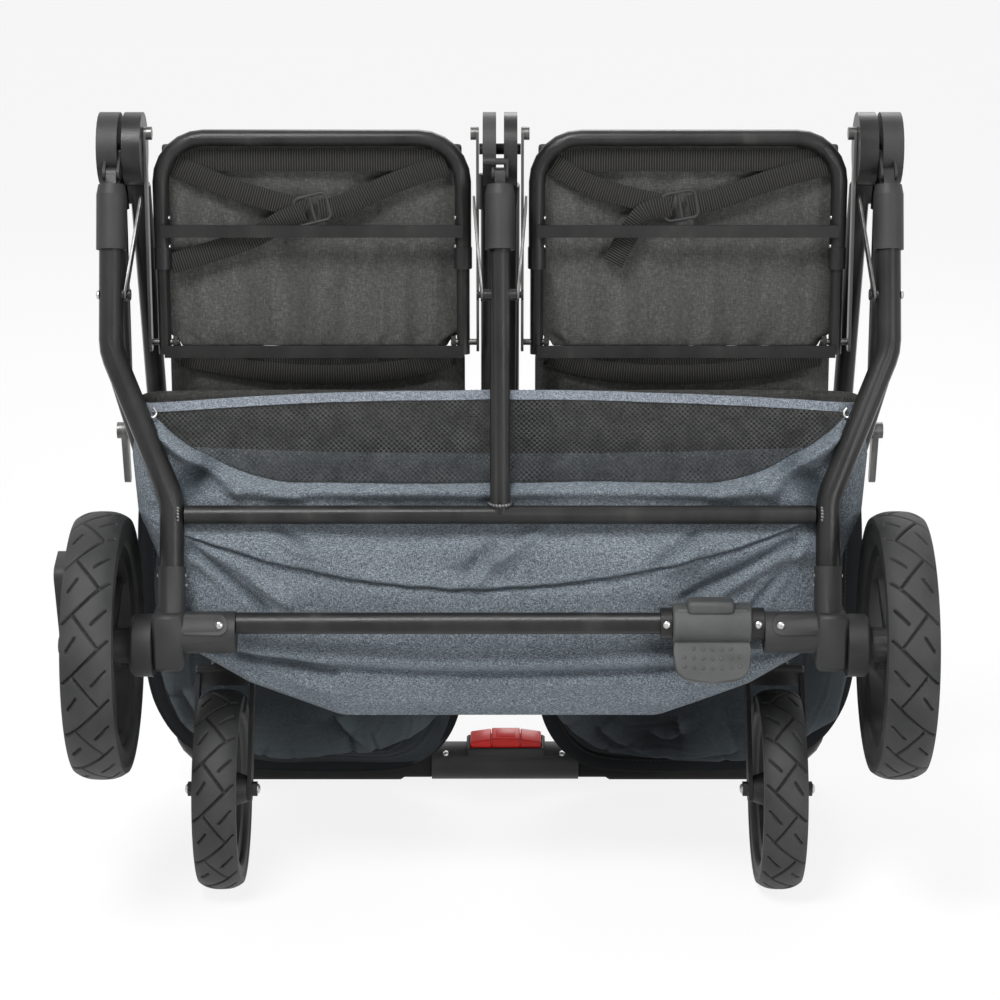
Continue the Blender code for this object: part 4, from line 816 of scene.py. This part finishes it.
harness("left",
        [(-0.2960, 0.0050, 0.6737), (-0.1700, 0.0048, 0.6735), (-0.0480, 0.0050, 0.6737)],
        [(-0.2960, 0.0036, 0.6700), (-0.2420, 0.0022, 0.6480),
         (-0.1900, 0.0015, 0.6330), (-0.1760, 0.0010, 0.6290)],
        [(-0.1640, 0.0010, 0.6290), (-0.1400, 0.0012, 0.6340),
         (-0.0950, 0.0022, 0.6540), (-0.0480, 0.0036, 0.6700)],
        [(-0.1780, 0.0000, 0.6280), (-0.1960, -0.0008, 0.6200),
         (-0.2300, -0.0012, 0.6020), (-0.2990, 0.0010, 0.5800)],
        (-0.1700, 0.0004, 0.6300), math.radians(-14))
harness("right",
        [(0.0480, 0.0050, 0.6737), (0.1700, 0.0048, 0.6735), (0.2960, 0.0050, 0.6737)],
        [(0.0480, 0.0036, 0.6700), (0.0800, 0.0022, 0.6520),
         (0.1200, 0.0015, 0.6400), (0.1560, 0.0010, 0.6330)],
        [(0.1700, 0.0010, 0.6330), (0.2000, 0.0012, 0.6400),
         (0.2450, 0.0022, 0.6560), (0.2960, 0.0036, 0.6700)],
        [(0.1540, 0.0000, 0.6330), (0.1320, -0.0008, 0.6270),
         (0.1180, -0.0012, 0.6100), (0.1020, 0.0010, 0.5800)],
        (0.1630, 0.0004, 0.6330), math.radians(-10))
for name, side in (("left", -1), ("right", 1)):
    for part, width, route in (
            ("low", 0.0180, ((0.2960, 0.0270, 0.4890), (0.2250, 0.0262, 0.4760), (0.1560, 0.0258, 0.4720),
                             (0.0900, 0.0262, 0.4770), (0.0460, 0.0270, 0.4880))),
            ("flat", 0.0150, ((0.2600, 0.0288, 0.4880), (0.1600, 0.0286, 0.4868),
                              (0.0700, 0.0288, 0.4880)))):
        piece, length = strap(f"webbing_{part}_{name}", [(side * x, y, z) for x, y, z in route],
                              width, "seat_base_" + name)


# Canopies: dark cloth folded up on its bow.  The skin is drawn from the outline inwards,
# so its pleats run parallel to the rim; a stitched rim band follows the outline.
canopy_fabric, tree = finish("canopy_fabric", 0.9, Specular_IOR_Level=0.18)
threads = cloud(tree, 1100, 2, (1, 1, 0.25)) * 0.5 + cloud(tree, 1100, 2, (0.25, 1, 1)) * 0.5
wash = cloud(tree, 12, 3)
# The fold attribute paints light and shade into the colour: lighter on the flap edges, bulges and raised
# pleats, darker in the creases behind the flaps.
fold = add_node(tree, "ShaderNodeAttribute", {"attribute_name": "fold"}, out="Fac")
feed(tree,
     Base_Color=tones(tree, threads * 0.3 + wash * 0.15 + fold * 0.55, (0.26, (0.007, 0.008, 0.009)),
                      (0.5, (0.018, 0.022, 0.025)), (0.76, (0.066, 0.079, 0.088))),
     Roughness=0.78 + wash * 0.2,
     Normal=bump(tree, threads, 0.0003))

# Way down the folded handle, way from it to the far side, and the height of its hinge.
HANDLE_DOWN = Vector((0, 0.339718, -0.940527))
HANDLE_FAR = Vector((0, 0.940527, 0.339718))
HINGE_HEIGHT = 0.684482
CANOPY_NEAR = 0.0195


def on_handle(x, distance, near):
    """A point along the handle from its hinge, moved towards the rear axle by near."""
    return Vector((x, 0, HINGE_HEIGHT)) + HANDLE_DOWN * distance - HANDLE_FAR * near


# Rim of a folded canopy as (across, down the handle) points, and where its cloth is tied.
CANOPY_TOP = 0.330
CANOPY_RIM = ((0.345, CANOPY_TOP), (0.352, 0.400), (0.355, 0.480), (0.355, 0.560),
              (0.346, 0.615), (0.320, 0.660), (0.270, 0.688), (0.190, 0.694),
              (0.110, 0.691), (0.070, 0.673), (0.044, 0.628), (0.036, 0.560),
              (0.036, 0.480), (0.036, 0.400), (0.037, CANOPY_TOP))
# Pleats along the rim: how far in each lies, how high it is and how wide.
CANOPY_PLEATS = ((0.030, 0.0018, 0.010), (0.052, 0.0020, 0.013), (0.083, 0.0018, 0.016))
# Flaps of the folded canopies: the line of each lower edge as (across, down the handle)
# points, how far it stands out and how soon it fades.
CANOPY_FLAPS = {
    "left": ((((0.262, 0.640), (0.239, 0.652), (0.209, 0.656), (0.148, 0.642), (0.124, 0.639),
               (0.066, 0.612)), 0.0133, 0.030),
             (((0.124, 0.639), (0.150, 0.622), (0.165, 0.600)), 0.0095, 0.016),
             (((0.306, 0.641), (0.322, 0.628), (0.334, 0.590), (0.340, 0.560)), 0.01045, 0.014),
             (((0.262, 0.600), (0.300, 0.610), (0.318, 0.575)), 0.00855, 0.018)),
    "right": ((((0.048, 0.600), (0.066, 0.625), (0.106, 0.652), (0.168, 0.669), (0.230, 0.667),
                (0.300, 0.650)), 0.01235, 0.026),
              (((0.100, 0.618), (0.130, 0.648), (0.168, 0.669), (0.186, 0.661), (0.240, 0.645)),
               0.0114, 0.022),
              (((0.178, 0.608), (0.182, 0.628), (0.168, 0.636), (0.150, 0.628)), 0.0095, 0.012),
              (((0.250, 0.655), (0.305, 0.640), (0.341, 0.625), (0.350, 0.560)), 0.0114, 0.018))}


def inwards(x, distance):
    """From a point of the rim: the point of the canopy's spine that it faces, and how far."""
    middle = 0.190 + 0.12 * (x - 0.190) * smooth_step(0.56, 0.66, distance)
    spine = (middle, min(distance, 0.560))
    return spine, math.hypot(spine[0] - x, spine[1] - distance)


def canopy_swell(distance, inward):
    """Thickness of the folded bundle at a place: thin at the top and the rim, full inside."""
    along = 0.004 + 0.031 * smooth_step(CANOPY_TOP, 0.470, distance)
    return along * (0.30 + 0.70 * smooth_step(0.0, 0.055, inward))


def flap_lift(spot, flaps):
    """How far the flaps stand out at a point, highest along each edge and nothing beyond it,
    and how much painted light the cloth gets there: painted light along the edge, painted shade in the
    crease behind it."""
    lift, light, dark = 0.0, 0.0, 0.0
    for edge, height, fade in flaps:
        for start, end in zip(edge, edge[1:]):
            run = (end[0] - start[0], end[1] - start[1])
            away = (spot[0] - start[0], spot[1] - start[1])
            length = math.hypot(*run)
            along = (run[0] * away[0] + run[1] * away[1]) / length
            beyond = (run[0] * away[1] - run[1] * away[0]) / length * (1 if run[0] < 0 else -1)
            ends = smooth_step(-0.006, 0.006, along) * smooth_step(-0.006, 0.006, length - along)
            share = ends * smooth_step(-0.002, 0.0015, beyond) * math.exp(-max(0.0, beyond) / fade)
            lift = max(lift, height * share)
            light = max(light, share)
            # Painted shade in the crease just beyond each flap's edge.
            if beyond < 0:
                dark = max(dark, ends * math.exp(beyond / 0.011))
    return lift, 0.5 + 0.5 * light - 0.5 * dark * (1 - light)


def pleat_height(depth, drift, side):
    """How far the pleats stand out at a depth inside the rim; each wanders as it goes round."""
    height = 0.0
    for place, rise, width in CANOPY_PLEATS:
        gap = depth - place - 0.008 * noise.noise((drift, place * 50, side * 2.0))
        if gap > -0.006:
            height += rise * (math.exp(-max(gap, 0) / width) - 1.15 * hump(gap, 0.0028))
    return height


def outer_cloth(side_name, side, x, distance, depth, drift):
    """How far the outer skin stands out at a place, and the painted light and shade of its cloth there:
    lighter on bulges, pleats, tucks and flap edges, darker in the creases.
    """
    wave = noise.noise((x * 9 * side + 5, distance * 7, 2.5))
    pleat = pleat_height(depth, drift, side)
    tuck = noise.noise((x * 24 + distance * 16, distance * 12 - x * 7, side * 4.0))
    tuck *= 0.0055 * smooth_step(0.02, 0.06, depth)
    crush = 0.0016 * noise.noise((x * 75, distance * 75, 6.0)) * smooth_step(0.02, 0.05, depth)
    flaps, light = flap_lift((x, distance), CANOPY_FLAPS[side_name])
    folds = (pleat + flaps + tuck + crush + 0.009 * wave) * smooth_step(CANOPY_TOP, 0.370, distance)
    # The second value is painted light and shade, following the same waves, pleats and tucks that shape
    # the skin.
    return (max(0.0012, canopy_swell(distance, depth) + folds),
            light + 0.22 * wave + 14 * (pleat + tuck))


# Section of the rim band, as shares of its half width across and metres out: a raised
# edge, and a groove for the stitches.
BAND_SECTION = ((-1, -0.0004), (-0.97, 0.0006), (-0.8, 0.0011), (-0.68, 0.0004), (-0.5, 0.0011),
                (0, 0.0013), (0.8, 0.0011), (0.97, 0.0006), (1, -0.0004), (0.6, -0.0008),
                (-0.6, -0.0008))
BAND_INSET = 0.0095


def rim_band(side_name, side, rim):
    """The stitched band inside a canopy's rim, with its thread."""
    body = "canopy_" + side_name
    centres = []
    for x, distance in rim[8:-8]:
        spine, reach = inwards(x, distance)
        share = BAND_INSET / reach
        x, distance = x + (spine[0] - x) * share, distance + (spine[1] - distance) * share
        out = CANOPY_NEAR + canopy_swell(distance, BAND_INSET) + 0.0022
        centres.append(on_handle(side * x, distance, out))

    def ring_at(centre, along):
        wide = along.cross(HANDLE_FAR).normalized()
        return [centre + wide * 0.0092 * u - HANDLE_FAR * v for u, v in BAND_SECTION]

    band = bmesh.new()
    sweep(band, centres, ring_at)
    edge = new_piece("canopy_rim_" + side_name, band, canopy_fabric, body, "canopy_cloth", sharp=60)
    stitches = bmesh.new()
    for before, after in zip(centres, centres[1:]):
        count = max(1, round((after - before).length / 0.0034))
        along = (after - before).normalized()
        wide = along.cross(HANDLE_FAR).normalized()
        turn = Matrix((along, wide, HANDLE_FAR)).transposed()
        for step in range(count):
            spot = before + (after - before) * ((step + 0.5) / count)
            ends = bmesh.ops.create_cube(stitches, size=1.0)["verts"]
            bmesh.ops.scale(stitches, verts=ends, vec=(0.0022, 0.0006, 0.0005))
            bmesh.ops.rotate(stitches, verts=ends, cent=(0, 0, 0), matrix=turn)
            bmesh.ops.translate(stitches, verts=ends,
                                vec=spot - wide * 0.0063 * side - HANDLE_FAR * 0.0010)
    thread = new_piece("canopy_thread_" + side_name, stitches, dark_lining, body, "canopy_cloth")
    run_length(centres)


def canopy(side_name, side):
    """Both skins of one folded canopy, closed round its rim."""
    rim = eased(CANOPY_RIM, 17)
    inner_rows, outer_rows, lights = [], [], []
    for step in range(65):
        inward = step / 64
        inner_row, outer_row = [], []
        for number, (x, distance) in enumerate(rim):
            spine, reach = inwards(x, distance)
            px, pd = x + (spine[0] - x) * inward, distance + (spine[1] - distance) * inward
            wave = noise.noise((px * 9 * side + 5, pd * 7, 1.5))
            inner_row.append(on_handle(side * px, pd, CANOPY_NEAR + max(-0.0003, 0.0015 * wave)))
            out, light = outer_cloth(side_name, side, px, pd, inward * reach, number * 0.021)
            outer_row.append(on_handle(side * px, pd, CANOPY_NEAR + out))
            lights.append(light)
        inner_rows.append(inner_row)
        outer_rows.append(outer_row)
    cloth = skin(inner_rows[::-1] + outer_rows)
    bmesh.ops.recalc_face_normals(cloth, faces=cloth.faces)
    made = new_piece("canopy_fabric_" + side_name, cloth, canopy_fabric, "canopy_" + side_name,
                     "canopy_cloth", "canopy_" + side_name, sharp=0)
    smooth = made.modifiers.new("smooth", "SUBSURF")
    smooth.levels = smooth.render_levels = 1
    # The fold attribute holds painted light and shade: an even middle on the inner skin, the outer skin's
    # values from outer_cloth.
    fold = made.data.attributes.new("fold", "FLOAT", "POINT")
    for number, light in enumerate([0.5] * len(lights) + lights):
        fold.data[number].value = light
    rim_band(side_name, side, rim)


canopy("left", -1)
canopy("right", 1)


# Brake pedal: a barrel on the axle, a raised toggle above and a dimpled flap below.
def spun(mesh_data, outline, centre, axis, steps=40):
    """Spin (along, radius) pairs about an axis through centre into a closed form."""
    axis = Vector(axis).normalized()
    out = axis.orthogonal().normalized()
    verts = [mesh_data.verts.new(Vector(centre) + axis * along + out * radius)
             for along, radius in outline]
    edges = [mesh_data.edges.new(pair) for pair in zip(verts, verts[1:])]
    bmesh.ops.spin(mesh_data, geom=verts + edges, cent=centre, axis=axis, angle=math.tau,
                   steps=steps, use_merge=True)
    bmesh.ops.remove_doubles(mesh_data, verts=mesh_data.verts, dist=0.000005)


def block(mesh_data, low, high, radius, segments):
    """A block with rounded edges added to a mesh."""
    low, high = Vector(low), Vector(high)
    verts = bmesh.ops.create_cube(mesh_data, size=1.0)["verts"]
    bmesh.ops.scale(mesh_data, verts=verts, vec=[abs(b - a) for a, b in zip(low, high)])
    bmesh.ops.translate(mesh_data, verts=verts, vec=(low + high) / 2)
    edges = list({edge for vert in verts for edge in vert.link_edges})
    bmesh.ops.bevel(mesh_data, geom=edges, offset=radius, segments=segments, affect="EDGES",
                    profile=0.5, material=-1)


pedal = bmesh.new()
BARREL = Vector((0.1875, -0.141, 0.2813))
spun(pedal, [(-0.0347, 0.0102), (-0.0347, 0.0165), (-0.0332, 0.0180), (0.0332, 0.0180),
             (0.0347, 0.0165), (0.0347, 0.0102), (-0.0347, 0.0102)], BARREL, (1, 0, 0), 48)
flap_down = Vector((0, -0.022, -0.041)).normalized()
flap_rear = Vector((0, flap_down.z, -flap_down.y))
right_edge = [(0.0150, 0.0530), (0.0250, 0.0505), (0.0310, 0.0455), (0.0338, 0.038), (0.0342, 0.026),
              (0.0335, 0.010)]
outline = [(-x, along) for x, along in right_edge[::-1]] + [(0, 0.0538)] + right_edge
faces = [[pedal.verts.new(BARREL + Vector((x, 0, 0)) + flap_down * along + flap_rear * lift)
          for x, along in outline] for lift in (-0.0045, 0.0035)]
rims = [pedal.faces.new(faces[0]), pedal.faces.new(faces[1][::-1])]
for number in range(len(outline)):
    pedal.faces.new((faces[0][number], faces[0][number - 1], faces[1][number - 1], faces[1][number]))
bmesh.ops.bevel(pedal, geom=list({edge for face in rims for edge in face.edges}), offset=0.0016,
                segments=3, affect="EDGES", profile=0.5, material=-1)
for count, along in ((5, 0.0245), (7, 0.0330), (7, 0.0415)):
    for number in range(count):
        x = (number - (count - 1) / 2) * 0.0082
        sag = -0.0016 * (abs(x) / 0.0246) ** 2
        spot = BARREL + Vector((x, 0, 0)) + flap_down * (along + sag) + flap_rear * 0.0034
        spun(pedal, [(0, 0.0019), (0.0005, 0.0017), (0.0009, 0.0009), (0.0010, 0.00001)],
             spot, flap_rear, 12)
for low, high, radius, segments in (
        ((-0.0225, -0.0150, 0.0110), (0.0195, 0.0060, 0.0235), 0.0042, 4),
        ((-0.0330, -0.0120, 0.0060), (0.0330, 0.0100, 0.0165), 0.0030, 3)):
    block(pedal, BARREL + Vector(low), BARREL + Vector(high), radius, segments)
bmesh.ops.recalc_face_normals(pedal, faces=pedal.faces)
new_piece("brake_pedal_body", pedal, grey_plastic, "brake_pedal", "grey_plastic", "brake_pedal",
          sharp=32)

# Fold trigger: a red push bar in three parts with an arched top, in its bezel.
trigger = bmesh.new()
for low_x, high_x, top in ((-0.0306, -0.0092, 0.0352), (-0.0086, 0.0206, 0.0361),
                           (0.0212, 0.0426, 0.0352)):
    block(trigger, (low_x, -0.0098, 0.0216), (high_x, 0.0098, top), 0.0016, 3)
block(trigger, (-0.0300, -0.0090, 0.0220), (0.0420, 0.0090, 0.0330), 0.0008, 1)
block(trigger, (-0.0040, -0.0065, 0.0340), (0.0160, 0.0065, 0.0366), 0.0009, 2)
for vert in trigger.verts:
    if vert.co.z > 0.026:
        vert.co.z -= 0.0042 * (abs(vert.co.x - 0.006) / 0.0366) ** 2.6
CASE_DISTANCE = 0.7065
for vert in trigger.verts:
    vert.co = (on_handle(vert.co.x, CASE_DISTANCE, 0) + HANDLE_FAR * vert.co.y
               - HANDLE_DOWN * vert.co.z)
bmesh.ops.recalc_face_normals(trigger, faces=trigger.faces)
new_piece("fold_trigger_bar", trigger, red_plastic, "fold_trigger", "red_plastic", "fold_trigger",
          sharp=32)


# Screws, rivets and bolt ends: domed heads, the larger ones with a round recess, one group per body.
def heads(name, body, places):
    """A group of heads on one body; the larger ones have a recess."""
    group = bmesh.new()
    for centre, normal, radius in places:
        high = radius * 0.55
        recess = radius > 0.0024
        inner = radius * 0.30 if recess else 0.00002
        outline = [(-0.0004, radius), (high * 0.35, radius), (high * 0.8, radius * 0.78),
                   (high, radius * 0.45), (high, inner)]
        if recess:
            outline += [(high * 0.45, inner * 0.9), (high * 0.45, 0.00002)]
        spun(group, outline, Vector(centre), normal, 14)
    new_piece(name, group, bright_steel, body, "grey_steel", sharp=40)


REAR = (0, -1, 0)
rear_places = []
for side in (-1, 1):
    rear_places += [((side * 0.2475, -0.1572, 0.2838), REAR, 0.0036),
                    ((side * 0.3030, -0.1300, 0.3220), (side, -0.5, 0), 0.0019),
                    ((side * 0.2790, -0.1300, 0.3220), (-side, -0.5, 0), 0.0019),
                    ((side * 0.2785, -0.1300, 0.3130), (-side, -0.5, 0), 0.0017),
                    ((side * 0.3566, -0.0643, 0.5627), (side, 0, 0), 0.0040)]
rear_places += [((x, -0.1548, 0.2838), REAR, 0.0034) for x in (0.1472, 0.2281)]
heads("rear_frame_screws", "rear_frame", rear_places)
for name, side in (("left", -1), ("right", 1)):
    heads("seat_rivets_" + name, "seat_back_" + name,
          [((side * x, y, z), (into * side, -0.6, 0), 0.0021)
           for x, into in ((0.2992, -1), (0.0408, 1))
           for y, z in ((-0.0022, 0.6225), (-0.0022, 0.5965), (-0.0010, 0.5085))])
    heads("fork_bolts_" + name, "caster_" + name,
          [((side * (0.259 + out * 0.0325), -0.04931, 0.093), (side * out, 0, 0), 0.0046)
           for out in (-1, 1)])
case_up = (-HANDLE_DOWN * 0.86 - HANDLE_FAR * 0.5).normalized()
heads("case_screw", "handle", [(on_handle(x, CASE_DISTANCE, 0) + case_up * 0.0192, case_up, 0.0030)
                               for x in (-0.0560, 0.0640)])

# Tongues of the axle housings: a raised strap with a round end under each screw.
HOUSING_AXIS = Vector((0, -0.141, 0.273))
HOUSING_RADIUS = 0.0190
for name, side in (("left", -1), ("right", 1)):
    tongue = bmesh.new()
    outline = [(0.2790, -0.0078), (0.2790, 0.0078)]
    outline += [(0.2475 - 0.0078 * math.sin(math.radians(18 * step)),
                 0.0078 * math.cos(math.radians(18 * step))) for step in range(11)]
    layers = []
    for lift in (0.0, 0.0009):
        ring = []
        for x, rise in outline:
            z = 0.0108 + rise
            y = -math.sqrt((HOUSING_RADIUS + lift) ** 2 - z * z)
            ring.append(tongue.verts.new(HOUSING_AXIS + Vector((side * x, y, z))))
        layers.append(ring)
    cap = tongue.faces.new(layers[1])
    for number in range(len(outline)):
        tongue.faces.new((layers[0][number - 1], layers[0][number], layers[1][number],
                          layers[1][number - 1]))
    bmesh.ops.bevel(tongue, geom=cap.edges[:], offset=0.0004, segments=2, affect="EDGES",
                    profile=0.5, material=-1)
    bmesh.ops.recalc_face_normals(tongue, faces=tongue.faces)
    new_piece("housing_tongue_" + name, tongue, black_plastic, "rear_frame", "black_plastic",
              sharp=30)

# Weld beads where the cross bar meets the legs and the centre post.
beads = bmesh.new()
for number in range(11):
    angle = math.radians(90 + 18 * number)
    for x in (-0.2850, 0.2850):
        spun(beads, [(-0.0022, 0.00002), (-0.0015, 0.0017), (0, 0.0023), (0.0015, 0.0017),
                     (0.0022, 0.00002)],
             (x, -0.1154 + 0.0088 * math.cos(angle), CROSS_BAR_HEIGHT + 0.0088 * math.sin(angle)),
             (0, -math.sin(angle), math.cos(angle)), 8)
    angle += math.radians(90)
    spun(beads, [(-0.0022, 0.00002), (-0.0015, 0.0016), (0, 0.0022), (0.0015, 0.0016),
                 (0.0022, 0.00002)],
         (0.0094 * math.cos(angle), -0.1128 + 0.0094 * math.sin(angle), 0.3836),
         (-math.sin(angle), math.cos(angle), 0), 8)
new_piece("weld_beads", beads, plated_steel, "rear_frame", "black_frame", sharp=0)

# Wire hooks that hold the hem's ends to the rear legs.
HOOK_BENDS = ((0.3200, -0.0880, 0.4700), (0.3175, -0.0915, 0.4660), (0.3130, -0.0915, 0.4600),
              (0.3080, -0.0905, 0.4570), (0.3055, -0.0890, 0.4610), (0.3085, -0.0880, 0.4650))


def wire_ring(centre, along):
    """A ring of round hook wire."""
    one = along.cross(Vector((0, 1, 0))).normalized() * 0.0011
    two = along.cross(one)
    return [centre + one * math.cos(math.radians(45 * k)) + two * math.sin(math.radians(45 * k))
            for k in range(8)]


for name, side in (("left", -1), ("right", 1)):
    hook = bmesh.new()
    bends = eased([(side * x, y, z) for x, y, z in HOOK_BENDS], 6)
    sweep(hook, [Vector(point) for point in bends], wire_ring)
    new_piece("hem_hook_" + name, hook, bright_steel, "rear_frame", "grey_steel", sharp=0)


STUD_HEIGHT = 0.508
round_stud = [(0.0046 * math.cos(math.radians(56.3 + 18 * step)),
               STUD_HEIGHT + 0.0046 * math.sin(math.radians(56.3 + 18 * step))) for step in range(11)]
loop = [(0.0400, 0.4870), (0.0240, 0.5000)] + round_stud + [(0.0190, 0.4920), (0.0380, 0.4800)]
for name, side in (("left", -1), ("right", 1)):
    for spot, x in (("outer", 0.2968), ("inner", 0.0424)):
        band = ribbon(f"seat_loop_{name}_{spot}", [Vector((side * x, y, z)) for y, z in loop],
                      0.0042, 0.0016, dark_lining, "seat_base_" + name, "seat_cloth", (1, 0, 0))
